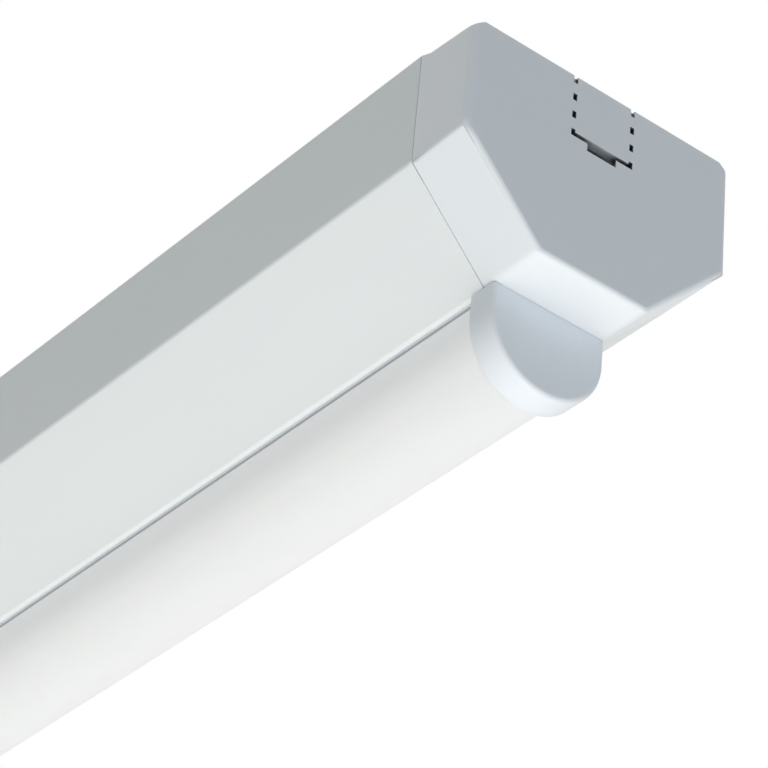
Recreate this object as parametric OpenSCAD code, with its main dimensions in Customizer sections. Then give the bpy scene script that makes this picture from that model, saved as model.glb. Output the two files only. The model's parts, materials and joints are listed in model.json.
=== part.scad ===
// Linear LED batten luminaire, surface mounted, hanging from the ceiling plane at z = 0.
// X runs along the batten, Y across it, Z up. The origin is the centre of the face on the ceiling.

/* [Overall] */
// Overall length, end face to end face
length = 600; // [400:10:1800]
// Width across the upright sides
width = 67.5; // [56:0.5:90]
// Height of the upright side, ceiling to the start of the chamfer
side_h = 27; // [22:0.1:40]
// Height of the body, ceiling to the bottom of the lip
body_h = 47.4; // [42:0.2:60]

/* [Sheet steel] */
// Thickness of the body cover's steel
cover_t = 0.6; // [0.5:0.1:1]
// Inner radius of the soft bend between side and chamfer
side_bend_r = 3.4; // [1:0.2:5]
// Inner radius of the bend from chamfer to lip
lip_bend_r = 0.5; // [0.3:0.1:1]
// Inner radius of the sharp bends
sharp_bend_r = 0.2; // [0.1:0.05:0.4]
// Flat width of the lip, including its two bends
lip_w = 1.5; // [1.3:0.05:3]
// Depth of the channel that holds the light source, lip to web
channel_d = 6.9; // [6:0.1:12]
// Thickness of the spine's steel
spine_t = 0.8; // [0.6:0.1:1.5]
// Height of the spine's flanges
spine_h = 14; // [10:0.5:18]
// Width of the inward lip on the spine's flanges
spine_lip = 2.2; // [1.5:0.1:4]
// Air between the spine's flange and the cover's side, each side
spine_gap = 1.4; // [1:0.1:3]
// Distance from the end face to the end of the spine
spine_inset = 6; // [4:0.5:12]

/* [End caps] */
// Length of the end cap seen from outside
cap_l = 16.4; // [14:0.1:25]
// Thickness of the end wall
cap_end_t = 2; // [1.5:0.1:3]
// Thickness of the side walls
cap_t = 1.8; // [1.4:0.1:2.6]
// Width of the seam between end cap and body cover
seam_gap = 0.2; // [0.1:0.05:0.5]
// Rounding of the upright edges of the end face
cap_side_r = 1.8; // [1:0.1:4]
// Rounding of the chamfered and bottom edges of the end face
cap_low_r = 1.2; // [0.5:0.1:1.8]
// Rounding of the long edge between chamfer and bottom
cap_edge_r = 3; // [2:0.1:4]
// Width of the cut at the top corners of the end face
corner_cut_w = 2.8; // [1:0.1:5]
// Height of the cut at the top corners of the end face
corner_cut_h = 2; // [1:0.1:5]
// Length of the spigot that enters the body cover
spigot_l = 8; // [5:0.5:12]
// Thickness of the spigot
spigot_t = 1.1; // [0.8:0.1:1.2]
// Clearance between the spigot and the cover
spigot_gap = 0.15; // [0.1:0.05:0.4]

/* [Knock-out] */
// Width of the trunking knock-out, over its slits
knock_w = 16; // [12:1:25]
// Depth of the knock-out below the ceiling
knock_h = 15.1; // [12:0.1:20]
// Width of the perforation slits
slit_w = 1; // [0.5:0.1:1.2]
// Length of each side slit
slit_l = 1.7; // [1:0.1:3]
// Number of slits on each side
slit_count = 4; // [2:1:6]
// Width of the pry notch
notch_w = 7.5; // [4:0.5:10]
// Depth of the pry notch below the slit
notch_h = 1.8; // [1:0.1:3]

/* [Diffuser] */
// Outside width of the diffuser
diffuser_w = 23.8; // [20:0.2:30]
// Upright part of the diffuser's side below the body
diffuser_side = 5.8; // [3:0.2:15]
// Wall of the diffuser
diffuser_t = 1.5; // [1:0.1:2.5]
// Gap between the diffuser and the lip
diffuser_gap = 0.25; // [0.15:0.05:0.5]
// Depth of the snap bead on diffuser and carrier
bead = 0.5; // [0.3:0.1:0.8]

/* [Diffuser caps] */
// Length of each diffuser cap
dcap_l = 7; // [5:0.5:12]
// Distance from the end face back to the diffuser cap's face
dcap_back = 13; // [8:0.5:20]
// Wall of the diffuser cap round the diffuser
dcap_t = 2.2; // [1.5:0.1:3]
// Thickness of the diffuser cap's end wall
dcap_end_t = 1.8; // [1.2:0.1:3]
// Rounding of the diffuser cap's face
dcap_r = 1; // [0.4:0.1:1.5]
// Clearance between the diffuser cap and the body above it
dcap_gap = 0.1; // [0.1:0.05:0.6]

/* [Light source] */
// Thickness of the carrier profile
carrier_t = 1.2; // [1:0.1:2]
// Air between each of the carrier's rails and the diffuser's leg beside it
snap_air = 0.7; // [0.6:0.05:1]
// Height of the carrier's rails below its base
rail_h = 3.8; // [2.5:0.1:5]
// Thickness of the LED boards
board_t = 1; // [0.8:0.1:1.6]
// Air between the LED boards and the carrier's rails, each side
board_air = 0.7; // [0.2:0.1:2]
// Distance from one LED to the next
led_pitch = 9.6; // [6:0.2:20]
// Length of an LED package
led_l = 3.5; // [2:0.1:5]
// Width of an LED package
led_w = 2.8; // [2:0.1:5]
// Height of an LED package
led_h = 0.7; // [0.5:0.1:1.2]

/* [Driver] */
// Length of the driver case
driver_l = 150; // [100:5:200]
// Width of the driver case
driver_w = 30; // [24:1:40]
// Height of the driver case with its lid
driver_h = 20; // [15:0.5:22]
// Thickness of the driver's lid
lid_t = 1.6; // [1:0.1:2.5]

/* [Ceiling fixings and wiring] */
// Distance between the two ceiling fixing slots
fixing_pitch = 450; // [200:10:1600]
// Width of a fixing slot
fixing_w = 5; // [4:0.5:7]
// Length of a fixing slot
fixing_l = 14; // [8:1:20]
// Distance between the two box fixing holes
box_pitch = 50.8; // [45:0.1:65]
// Diameter of the box fixing holes
box_hole_d = 4.6; // [4:0.1:6]
// Diameter of the cable entry hole in the spine
entry_d = 20; // [16:1:25]
// Diameter of the bore through the cable bush
bush_bore_d = 10; // [6:0.5:12]
// Distance from one terminal pole to the next
pole_pitch = 10; // [8:0.5:12]
// Diameter of the insulated mains leads
lead_d = 2.6; // [2:0.1:3.5]
// Diameter of the low voltage leads
fine_lead_d = 1.5; // [1:0.1:2]

/* [Hidden] */
$fn = 48;

// Overrun of every cut past the face it opens
over = 1;
// Running clearance of a pin or hub in its seat
run_gap = 0.05;
// Clearance of a piece in its seat within one body
seat_gap = 0.1;

// Bends of fewer degrees than this keep their corners
least_bend = 20;

// Colours
paint_white = [0.93, 0.94, 0.94];
moulded_white = [0.9, 0.92, 0.94];
opal = [0.95, 0.95, 0.94];
zinc = [0.75, 0.76, 0.77];
spring_steel = [0.62, 0.64, 0.66];
aluminium = [0.82, 0.83, 0.84];
rubber_grey = [0.35, 0.36, 0.37];
terminal_grey = [0.78, 0.79, 0.8];
lever_orange = [0.93, 0.45, 0.12];
brass = [0.83, 0.68, 0.35];
board_white = [0.96, 0.96, 0.95];
phosphor = [0.98, 0.86, 0.35];
live_brown = [0.42, 0.24, 0.13];
neutral_blue = [0.12, 0.3, 0.62];
earth_green = [0.25, 0.6, 0.2];
lead_red = [0.75, 0.1, 0.1];
lead_black = [0.1, 0.1, 0.1];

// Derived section of the body
half_w = width / 2;
slot_half = diffuser_w / 2 + diffuser_gap;
bottom_half = slot_half + lip_w;
web_z = -(body_h - channel_d);
web_top = web_z + cover_t;
x_open = length / 2 - cap_l;
x_face = length / 2;
cover_half_l = x_open - seam_gap;

// Derived spine
spine_half_w = half_w - cover_t - spine_gap;
spine_half_l = length / 2 - spine_inset;
plate_z = -spine_t;

// Derived diffuser
diffuser_r = diffuser_w / 2;
round_z = -(body_h + diffuser_side);
dcap_front = length / 2 - dcap_back;
dcap_rear = dcap_front - dcap_l;
dcap_outer_r = diffuser_r + seat_gap + dcap_t;
dcap_top = -(body_h + dcap_gap);
dcap_roof_t = 1.2;
leg_end_gap = 0.5;
inner_r = diffuser_r - diffuser_t;

// Derived light source
carrier_back = 14;
carrier_half_l = dcap_rear - carrier_back;
board_gap = 2;
board_l = carrier_half_l - board_gap / 2 - seat_gap;
board_z = web_z - carrier_t;
led_z = board_z - board_t;
rail_z = web_z - carrier_t - rail_h;
rail_t = 1;
carrier_w = 2 * (inner_r - snap_air);
board_w = carrier_w - 2 * (rail_t + board_air);

// The diffuser's legs end above the rails, with their snap beads over the rails' beads
leg_z = rail_z + 3.8 * bead;
led_margin = 12;
led_count = floor((board_l - 2 * led_margin) / led_pitch) + 1;

// Places along the spine
box_hole_r = box_hole_d / 2;
clamp_x = 38;
terminal_x = 52;
dock_x = 112;
knockout_x = 150;
clip_back = 44;
clip_x = cover_half_l - clip_back;
bush_out = 6;
bush_x = -(carrier_half_l + bush_out);

// Cable bush
bush_flange_w = 2.5;
bush_flange_r = entry_d / 2 + bush_flange_w;
bush_flange_t = 1.8;
bush_nose_r = 8;
bush_tip_r = 6.4;
bush_l = 9;

// Cable clamp and its screws
clamp_l = 10;
clamp_cable_r = 4.4;
clamp_shell_t = 2.4;
clamp_foot_half = 16;
clamp_foot_t = 3;
clamp_screw_y = 11.8;
screw_r = 1.5;
screw_hole_r = 1.55;
screw_pass_r = 1.75;
screw_head_r = 2.9;
screw_head_h = 2;
recess_w = 0.7;
recess_d = 1;

// Rear knock-outs in the spine
ring_slit = 0.4;
ring_bridge = 2.4;
rear_knock_r = 10;

// Terminal block
terminal_l = 22;
terminal_h = 16;
terminal_edge = 2.5;
terminal_mid = terminal_x + terminal_l / 2;
terminal_half_w = pole_pitch * 1.5 + terminal_edge;
poles = [-pole_pitch, 0, pole_pitch];
terminal_z = plate_z - terminal_h;
lead_air = 0.3;
funnel_r = lead_d / 2 + lead_air;
funnel_depth = 5;
lead_in = 4;
entry_drop = 7.5;
entry_z = plate_z - entry_drop;
foot_l = 6;
foot_w = 3;
cage_l = 8;
cage_w = 6;
cage_h = 5;

// Terminal levers
lever_w = 5.4;
lever_l = 14;
lever_t = 2.2;
lever_hub_r = 2;
lever_side_gap = 0.2;
lever_pin_r = 1.2;
lever_pin_l = 7.4;
lever_sink = 0.1;
lever_pocket_gap = 0.4;
lever_in = 4.6;
lever_x = terminal_x + lever_in;
lever_z = terminal_z + lever_hub_r + lever_sink;

// Earth tag and its screw
tag_t = 0.8;
tag_w = 6;
tag_out = 5;
tag_y = terminal_half_w + tag_out;
tag_ring_r = 4.2;
tag_in = 3;
earth_r = 2;
earth_hole_r = 2.05;
earth_pass_r = 2.3;
earth_head_r = 3.8;
earth_head_h = 2.6;

// Docking socket and plug
dock_half_l = 12;
dock_rim_w = 6.5;
dock_half_w = pole_pitch + dock_rim_w;
dock_h = 14;
nose_half_l = 9;
nose_rim_w = 3.5;
nose_half_w = pole_pitch + nose_rim_w;
nose_h = 5.2;
nose_air = 0.3;
nose_rest = 1;
shroud_h = 9;
plug_rim_w = 4;
plug_half_w = pole_pitch + plug_rim_w;
blade_w = 5;
blade_t = 0.8;
blade_gap = 0.2;
blade_root = 4;
blade_reach = 8;
blade_slot = 12;
nose_z = plate_z - dock_h - nose_h;
pocket_z = nose_z - nose_rest;
shroud_z = pocket_z + shroud_h - nose_h;
plug_floor_t = 4;
plug_z = pocket_z - plug_floor_t;

// Retaining clips
clip_w = 15;
clip_t = 0.6;
clip_bend_r = 0.6;
clip_catch = 0.5;
clip_air = 0.6;
clip_tip_in = 2;
clip_tip_rise = 6.8;
clip_nose_rise = 2.4;
clip_neck_drop = 1.6;
clip_shoulder = 10;
clip_base_in = 1.1;
clip_rivet_x = 4;
rivet_r = 1.2;
rivet_head_r = 2.3;
rivet_head_h = 0.9;
rivet_clear = 0.3;

// Driver
driver_right = -56;
driver_left = driver_right - driver_l;
driver_corner_r = 2;
ear_l = 8;
ear_t = 2.4;
ear_half_w = 8;
driver_lead_y = 4;
driver_lead_h = 7;
driver_lead_z = web_top + driver_lead_h;
fine_lead_y = 2;
fine_lead_h = 9;
fine_lead_z = web_top + fine_lead_h;
lid_lip = 0.4;

// Low voltage leads and their bush
bush_hole_r = 4;
lead_bush_r = 5.4;
lead_bush_t = 1;
lead_bush_bore_r = 3.2;
connector_l = 8;
connector_w = 9;
connector_h = 3.4;
connector_in = 1.6;
connector_bore_l = 6;
fine_lead_in = 4;
fine_bend_r = 2;

// Lead clips
lead_clip_l = 8;
lead_clip_half_w = 7;
lead_clip_x = [-20, 40];

// Cover earth stud
stud_out = 32;
stud_x = dock_x + stud_out;
stud_r = 2;
stud_h = 8;
stud_foot_r = 3.6;
stud_foot_t = 0.6;
nut_r = 4;
nut_h = 3.2;
ring_r = 3.8;
barrel_l = 6;
earth_bend_r = 1.6;

// Spigot, top relief and guide rails of the end caps
spigot_top = 2;
spigot_side = 1.8;
guide_gap = 0.15;
spigot_wall = min(spigot_t, spine_gap - spigot_gap - guide_gap);
guide_t = 1.8;
guide_up = 4;

// Ramp that ends the cut at a top corner, and the cut's depth where the ramp starts
corner_ramp_l = 2.8;
corner_ramp_share = 0.55;

// Board screws
board_screw_shares = [0.04, 0.5, 0.95];
board_screw_head_h = 1.4;
board_screw_head_r = 2.2;

// Directions in a drawing
function unit(v) = v / norm(v);
function across(v) = [-v[1], v[0]];

// Point where the line pairs a-b and b-c, both moved t to their left, meet
function mitre(a, b, c, t) =
    let (n1 = across(unit(b - a)), n2 = across(unit(c - b)))
    b + (n1 + n2) * t / (1 + n1 * n2);

// The line through the points p, moved t to its left
function left_of(p, t) = [
    for (i = [0 : len(p) - 1])
        i == 0 ? p[0] + across(unit(p[1] - p[0])) * t :
        i == len(p) - 1 ? p[i] + across(unit(p[i] - p[i - 1])) * t :
        mitre(p[i - 1], p[i], p[i + 1], t)
];

function backwards(p) = [for (i = [len(p) - 1 : -1 : 0]) p[i]];

// The points p mirrored left to right
function flipped(p) = [for (q = backwards(p)) [-q[0], q[1]]];

// Twice the area inside the points p, negative when they run clockwise
function turned_area(p) = [
    for (i = [0 : len(p) - 1]) p[i][0] * p[(i + 1) % len(p)][1] - p[i][1] * p[(i + 1) % len(p)][0]
] * [for (q = p) 1];

// Polygon with its points counter-clockwise, whichever way they are listed
module outline(p) {
    polygon(turned_area(p) < 0 ? backwards(p) : p);
}

// The piece between a corner and the arc of radius r that rounds it, reaching past the corner by past
module corner_patch(a, b, c, r, past) {
    u1 = unit(a - b);
    u2 = unit(c - b);
    half = acos(u1 * u2) / 2;
    run = r / tan(half);
    inward = unit(u1 + u2);
    difference() {
        outline([b + u1 * run, b - inward * past, b + u2 * run]);
        translate(b + inward * r / sin(half)) circle(r);
    }
}

// Bent sheet: p is its outer line, the sheet lies t to the left, radii are those inside the bends
module bent_sheet(p, t, radii) {
    q = left_of(p, t);
    difference() {
        union() {
            outline(concat(p, backwards(q)));
            for (i = [1 : len(p) - 2]) {
                turn = across(unit(p[i] - p[i - 1])) * unit(p[i + 1] - p[i]);
                if (turn > sin(least_bend)) corner_patch(q[i - 1], q[i], q[i + 1], radii[i - 1], t / 2);
                if (turn < -sin(least_bend)) corner_patch(p[i - 1], p[i], p[i + 1], radii[i - 1], t / 2);
            }
        }
        for (i = [1 : len(p) - 2]) {
            turn = across(unit(p[i] - p[i - 1])) * unit(p[i + 1] - p[i]);
            if (turn > sin(least_bend)) corner_patch(p[i - 1], p[i], p[i + 1], radii[i - 1] + t, over);
            if (turn < -sin(least_bend)) corner_patch(q[i - 1], q[i], q[i + 1], radii[i - 1] + t, over);
        }
    }
}

// Closed convex outline with its corners rounded, radius 0 keeps a corner sharp
module rounded_outline(p, r) {
    n = len(p);
    difference() {
        outline(p);
        for (i = [0 : n - 1])
            if (r[i] > 0) corner_patch(p[(i + n - 1) % n], p[i], p[(i + 1) % n], r[i], over);
    }
}

// Takes a drawing with Y to the right and Z up, and runs it along X from x0 to x1
module along_x(x0, x1) {
    translate([x0, 0, 0]) rotate([90, 0, 90]) linear_extrude(x1 - x0) children();
}

// Box from its lowest and highest corners
module block(a, b) {
    translate(a) cube(b - a);
}

// Upright cylinder between two heights
module post(x, y, z0, z1, r) {
    translate([x, y, z0]) cylinder(h = z1 - z0, r = r);
}

// Slot with round ends, along X, between two heights
module slot(x, y, z0, z1, l, w) {
    for (s = [-1, 1]) post(x + s * (l - w) / 2, y, z0, z1, w / 2);
    block([x - (l - w) / 2, y - w / 2, z0], [x + (l - w) / 2, y + w / 2, z1]);
}

// Round lead through the points p, with bends of radius bend
module lead(p, d, bend) {
    n = len(p);
    runs = [
        for (i = [0 : n - 1])
            i == 0 || i == n - 1 ? 0 :
            bend * tan(acos(unit(p[i] - p[i - 1]) * unit(p[i + 1] - p[i])) / 2)
    ];
    for (i = [0 : n - 2]) {
        u = unit(p[i + 1] - p[i]);
        a = p[i] + u * runs[i];
        b = p[i + 1] - u * runs[i + 1];
        translate(a) rotate([0, acos(u[2]), atan2(u[1], u[0])]) cylinder(h = norm(b - a), d = d);
    }
    for (i = [1 : 1 : n - 2]) if (runs[i] > 0) {
        u1 = unit(p[i] - p[i - 1]);
        u2 = unit(p[i + 1] - p[i]);
        inward = unit(u2 - u1);
        turn = acos(u1 * u2);
        centre = p[i] + inward * bend / cos(turn / 2);
        start = p[i] - u1 * runs[i];
        ex = unit(start - centre);
        ez = cross(ex, u1);
        multmatrix([
            [ex[0], u1[0], ez[0], centre[0]],
            [ex[1], u1[1], ez[1], centre[1]],
            [ex[2], u1[2], ez[2], centre[2]],
            [0, 0, 0, 1]
        ])
            rotate_extrude(angle = turn) translate([bend, 0]) circle(d / 2);
    }
}

// Pan head screw standing on its head, axis up, with a cross recess in the head
module screw(x, y, z_seat, z_tip, r, head_r, head_h) {
    post(x, y, z_seat, z_tip, r);
    difference() {
        post(x, y, z_seat - head_h, z_seat, head_r);
        for (a = [0, 90])
            translate([x, y, z_seat - head_h]) rotate([0, 0, a])
                block([-head_r * 0.6, -recess_w / 2, -over], [head_r * 0.6, recess_w / 2, recess_d]);
    }
}

// Round rod across the batten, centred on y
module cross_rod(x, y, z, l, r) {
    translate([x, y + l / 2, z]) rotate([90, 0, 0]) cylinder(h = l, r = r);
}

// Round rod along the batten
module long_rod(x0, x1, y, z, r) {
    translate([x0, y, z]) rotate([0, 90, 0]) cylinder(h = x1 - x0, r = r);
}

// Section of the spine, its lips turned inwards
spine_line = [
    [spine_half_w - spine_lip, -spine_h], [spine_half_w, -spine_h], [spine_half_w, 0],
    [-spine_half_w, 0], [-spine_half_w, -spine_h], [-spine_half_w + spine_lip, -spine_h]
];
spine_bends = [for (i = [1 : len(spine_line) - 2]) sharp_bend_r];

module spine() color(paint_white) difference() {
    along_x(-spine_half_l, spine_half_l) bent_sheet(spine_line, spine_t, spine_bends);
    post(0, 0, plate_z - over, over, entry_d / 2);
    for (s = [-1, 1]) {
        slot(s * fixing_pitch / 2, 0, plate_z - over, over, fixing_l, fixing_w);
        post(s * box_pitch / 2, 0, plate_z - over, over, box_hole_r);
        post(clamp_x, s * clamp_screw_y, plate_z - over, over, screw_hole_r);
        translate([s * knockout_x, 0, 0]) difference() {
            post(0, 0, plate_z - over, over, rear_knock_r);
            post(0, 0, plate_z - 2 * over, 2 * over, rear_knock_r - ring_slit);
            for (a = [0, 120, 240]) rotate([0, 0, a]) block(
                [0, -ring_bridge / 2, plate_z - 2 * over],
                [rear_knock_r + over, ring_bridge / 2, 2 * over]
            );
        }
        foot_holes(terminal_mid + s * (terminal_l - foot_l) / 2, terminal_half_w / 2);
        foot_holes(dock_x + s * (dock_half_l - foot_l / 2), dock_half_w / 2);
    }
    post(terminal_mid, tag_y, plate_z - over, over, earth_hole_r);
}

// Pair of oblong holes in the spine for moulded feet
module foot_holes(x, y) {
    for (s = [-1, 1]) block(
        [x - foot_l / 2 - seat_gap, s * y - foot_w / 2 - seat_gap, plate_z - over],
        [x + foot_l / 2 + seat_gap, s * y + foot_w / 2 + seat_gap, over]
    );
}

// The feet that stand in those holes
module foot_pair(x, y) {
    for (s = [-1, 1]) block(
        [x - foot_l / 2, s * y - foot_w / 2, plate_z], [x + foot_l / 2, s * y + foot_w / 2, -seat_gap]
    );
}

module cable_bush() color(rubber_grey) rotate_extrude() outline([
    [bush_bore_d / 2, -seat_gap], [entry_d / 2 - seat_gap, -seat_gap], [entry_d / 2 - seat_gap, plate_z],
    [bush_flange_r, plate_z], [bush_flange_r, plate_z - bush_flange_t],
    [bush_nose_r, plate_z - bush_flange_t], [bush_tip_r, -bush_l], [bush_bore_d / 2, -bush_l]
]);

module cable_clamp() color(moulded_white) difference() {
    along_x(clamp_x - clamp_l / 2, clamp_x + clamp_l / 2) difference() {
        union() {
            translate([-clamp_foot_half, plate_z - clamp_foot_t]) square([2 * clamp_foot_half, clamp_foot_t]);
            translate([0, plate_z - clamp_cable_r]) circle(clamp_cable_r + clamp_shell_t);
        }
        translate([0, plate_z - clamp_cable_r]) circle(clamp_cable_r);
        translate([-clamp_cable_r, plate_z - clamp_cable_r])
            square([2 * clamp_cable_r, clamp_cable_r + over]);
        translate([-width / 2, plate_z]) square([width, width]);
    }
    for (s = [-1, 1]) post(clamp_x, s * clamp_screw_y, plate_z - clamp_foot_t - over, over, screw_pass_r);
}

module cable_clamp_screws() color(zinc) for (s = [-1, 1])
    screw(clamp_x, s * clamp_screw_y, plate_z - clamp_foot_t, -seat_gap, screw_r, screw_head_r, screw_head_h);

module terminal_block() color(terminal_grey) difference() {
    union() {
        block(
            [terminal_x, -terminal_half_w, terminal_z], [terminal_x + terminal_l, terminal_half_w, plate_z]
        );
        for (s = [-1, 1]) foot_pair(terminal_mid + s * (terminal_l - foot_l) / 2, terminal_half_w / 2);
    }
    for (y = poles) {
        block(
            [lever_x - lever_hub_r - lever_pocket_gap, y - lever_w / 2 - lever_side_gap, terminal_z - over],
            [
                lever_x + lever_l + lever_t / 2 + lever_pocket_gap, y + lever_w / 2 + lever_side_gap,
                lever_z + lever_hub_r + lever_pocket_gap
            ]
        );
        cross_rod(lever_x, y, lever_z, lever_pin_l + 2 * seat_gap, lever_pin_r + run_gap);
        long_rod(terminal_x - over, terminal_x + terminal_l + over, y, entry_z, funnel_r);
        block(
            [terminal_mid, y, entry_z] - [cage_l, cage_w, cage_h] / 2 - [seat_gap, seat_gap, seat_gap],
            [terminal_mid, y, entry_z] + [cage_l, cage_w, cage_h] / 2 + [seat_gap, seat_gap, seat_gap]
        );
    }
    block(
        [terminal_mid - tag_w / 2 - seat_gap, terminal_half_w - tag_in - seat_gap,
            plate_z - tag_t - seat_gap],
        [terminal_mid + tag_w / 2 + seat_gap, terminal_half_w + over, plate_z + over]
    );
}

module terminal_clamps() color(brass) for (y = poles) difference() {
    block(
        [terminal_mid, y, entry_z] - [cage_l, cage_w, cage_h] / 2,
        [terminal_mid, y, entry_z] + [cage_l, cage_w, cage_h] / 2
    );
    long_rod(terminal_x, terminal_x + terminal_l, y, entry_z, funnel_r);
}

module lever(y) color(lever_orange) {
    cross_rod(lever_x, y, lever_z, lever_w, lever_hub_r);
    cross_rod(lever_x, y, lever_z, lever_pin_l, lever_pin_r);
    block(
        [lever_x, y - lever_w / 2, lever_z - lever_hub_r],
        [lever_x + lever_l, y + lever_w / 2, lever_z - lever_hub_r + lever_t]
    );
    cross_rod(lever_x + lever_l, y, lever_z - lever_hub_r + lever_t / 2, lever_w, lever_t / 2);
}
module lever_live() lever(poles[0]);
module lever_neutral() lever(poles[1]);
module lever_earth() lever(poles[2]);

module earth_tag() color(brass) difference() {
    union() {
        block(
            [terminal_mid - tag_w / 2, terminal_half_w - tag_in, plate_z - tag_t],
            [terminal_mid + tag_w / 2, tag_y, plate_z]
        );
        post(terminal_mid, tag_y, plate_z - tag_t, plate_z, tag_ring_r);
    }
    post(terminal_mid, tag_y, plate_z - tag_t - over, plate_z + over, earth_pass_r);
}

module earth_screw() color(zinc)
    screw(terminal_mid, tag_y, plate_z - tag_t, -seat_gap, earth_r, earth_head_r, earth_head_h);

module docking_socket() color(terminal_grey) difference() {
    union() {
        block(
            [dock_x - dock_half_l, -dock_half_w, plate_z - dock_h],
            [dock_x + dock_half_l, dock_half_w, plate_z]
        );
        block([dock_x - nose_half_l, -nose_half_w, nose_z], [dock_x + nose_half_l, nose_half_w, plate_z]);
        for (s = [-1, 1]) foot_pair(dock_x + s * (dock_half_l - foot_l / 2), dock_half_w / 2);
    }
    for (k = [-1, 0, 1]) {
        block(
            [dock_x - blade_t / 2 - blade_gap, k * pole_pitch - blade_w / 2 - blade_gap, nose_z - over],
            [dock_x + blade_t / 2 + blade_gap, k * pole_pitch + blade_w / 2 + blade_gap, nose_z + blade_slot]
        );
        long_rod(dock_x - dock_half_l - over, dock_x - dock_half_l + funnel_depth, k * pole_pitch, entry_z,
            funnel_r);
    }
}

module supply_leads() for (k = [0 : 2])
    color([live_brown, neutral_blue, earth_green][k])
        long_rod(
            terminal_x + terminal_l - lead_in, dock_x - dock_half_l + lead_in, poles[k], entry_z, lead_d / 2
        );

// Section of the body cover from one top edge round to the other
cover_line = [
    [-half_w, 0], [-half_w, -side_h], [-bottom_half, -body_h], [-slot_half, -body_h], [-slot_half, web_z],
    [slot_half, web_z], [slot_half, -body_h], [bottom_half, -body_h], [half_w, -side_h], [half_w, 0]
];

// Places of the board screws and of the clips' rivets along the batten
function board_screw_places() = [
    for (s = [-1, 1], share = board_screw_shares)
        s * (board_gap / 2 + board_l * share)
];
function rivet_places() = [for (s = [-1, 1], k = [-1, 1]) s * clip_x + k * clip_rivet_x];

cover_half_bends = [side_bend_r, lip_bend_r, sharp_bend_r, sharp_bend_r];

module body_cover() color(paint_white) difference() {
    along_x(-cover_half_l, cover_half_l)
        bent_sheet(cover_line, cover_t, concat(cover_half_bends, backwards(cover_half_bends)));
    for (x = rivet_places()) post(x, 0, web_z - over, web_top + over, rivet_r + run_gap);
    for (x = [driver_left - ear_l / 2, driver_right + ear_l / 2])
        post(x, 0, web_z - over, web_top + over, screw_hole_r);
    for (x = board_screw_places()) post(x, 0, web_z - over, web_top + over, screw_hole_r);
    post(bush_x, 0, web_z - over, web_top + over, bush_hole_r);
}

// One side of a retaining clip, from the tip of its nose down to the web
lip_top_z = -(spine_h - spine_t);
nose_y = spine_half_w - spine_lip + clip_catch;
arm_y = spine_half_w - spine_lip - clip_air;
clip_half_line = [
    [-(nose_y - clip_tip_in), lip_top_z + clip_tip_rise], [-nose_y, lip_top_z + clip_nose_rise],
    [-arm_y, lip_top_z - clip_neck_drop], [-arm_y, lip_top_z - clip_shoulder],
    [-(slot_half - clip_base_in), web_top]
];
clip_line = concat(clip_half_line, flipped(clip_half_line));

module retaining_clip(x) color(spring_steel) difference() {
    along_x(x - clip_w / 2, x + clip_w / 2)
        bent_sheet(clip_line, clip_t, [for (i = [1 : len(clip_line) - 2]) clip_bend_r]);
    for (k = [-1, 1])
        post(x + k * clip_rivet_x, 0, web_top - over, web_top + clip_t + over, rivet_r + run_gap);
}
module retaining_clip_left() retaining_clip(-clip_x);
module retaining_clip_right() retaining_clip(clip_x);

module clip_rivets() color(zinc) for (x = rivet_places()) {
    post(x, 0, web_z - rivet_head_h, web_top + clip_t + rivet_head_h, rivet_r);
    post(x, 0, web_z - rivet_head_h, web_z, rivet_head_r);
    post(x, 0, web_top + clip_t, web_top + clip_t + rivet_head_h, rivet_head_r);
}

module docking_plug() color(terminal_grey) difference() {
    union() {
        block([dock_x - dock_half_l, -plug_half_w, web_top], [dock_x + dock_half_l, plug_half_w, plug_z]);
        block([dock_x - dock_half_l, -dock_half_w, plug_z], [dock_x + dock_half_l, dock_half_w, shroud_z]);
    }
    block(
        [dock_x - nose_half_l - nose_air, -nose_half_w - nose_air, pocket_z],
        [dock_x + nose_half_l + nose_air, nose_half_w + nose_air, shroud_z + over]
    );
    for (k = [-1, 0, 1]) block(
        [dock_x - blade_t / 2 - run_gap, k * pole_pitch - blade_w / 2 - run_gap, pocket_z - blade_root],
        [dock_x + blade_t / 2 + run_gap, k * pole_pitch + blade_w / 2 + run_gap, pocket_z + over]
    );
    for (k = [-1, 1]) long_rod(
        dock_x - dock_half_l - over, dock_x - dock_half_l + funnel_depth, k * driver_lead_y,
        driver_lead_z, funnel_r
    );
    long_rod(dock_x + dock_half_l - funnel_depth, dock_x + dock_half_l + over, 0, driver_lead_z, funnel_r);
}

module docking_blades() color(brass) for (k = [-1, 0, 1]) block(
    [dock_x - blade_t / 2, k * pole_pitch - blade_w / 2, pocket_z - blade_root],
    [dock_x + blade_t / 2, k * pole_pitch + blade_w / 2, nose_z + blade_reach]
);

module driver_case() color(moulded_white) difference() {
    union() {
        translate([0, 0, web_top]) linear_extrude(driver_h - lid_t) rounded_outline(
            [
                [driver_left, -driver_w / 2], [driver_right, -driver_w / 2],
                [driver_right, driver_w / 2], [driver_left, driver_w / 2]
            ],
            [for (i = [0 : 3]) driver_corner_r]
        );
        block(
            [driver_left - ear_l, -ear_half_w, web_top], [driver_right + ear_l, ear_half_w, web_top + ear_t]
        );
    }
    for (x = [driver_left - ear_l / 2, driver_right + ear_l / 2])
        post(x, 0, web_top - over, web_top + ear_t + over, screw_pass_r);
    for (k = [-1, 1]) {
        long_rod(
            driver_right - funnel_depth, driver_right + over, k * driver_lead_y, driver_lead_z, funnel_r
        );
        long_rod(
            driver_left - over, driver_left + funnel_depth, k * fine_lead_y, fine_lead_z,
            fine_lead_d / 2 + seat_gap
        );
    }
}

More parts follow.
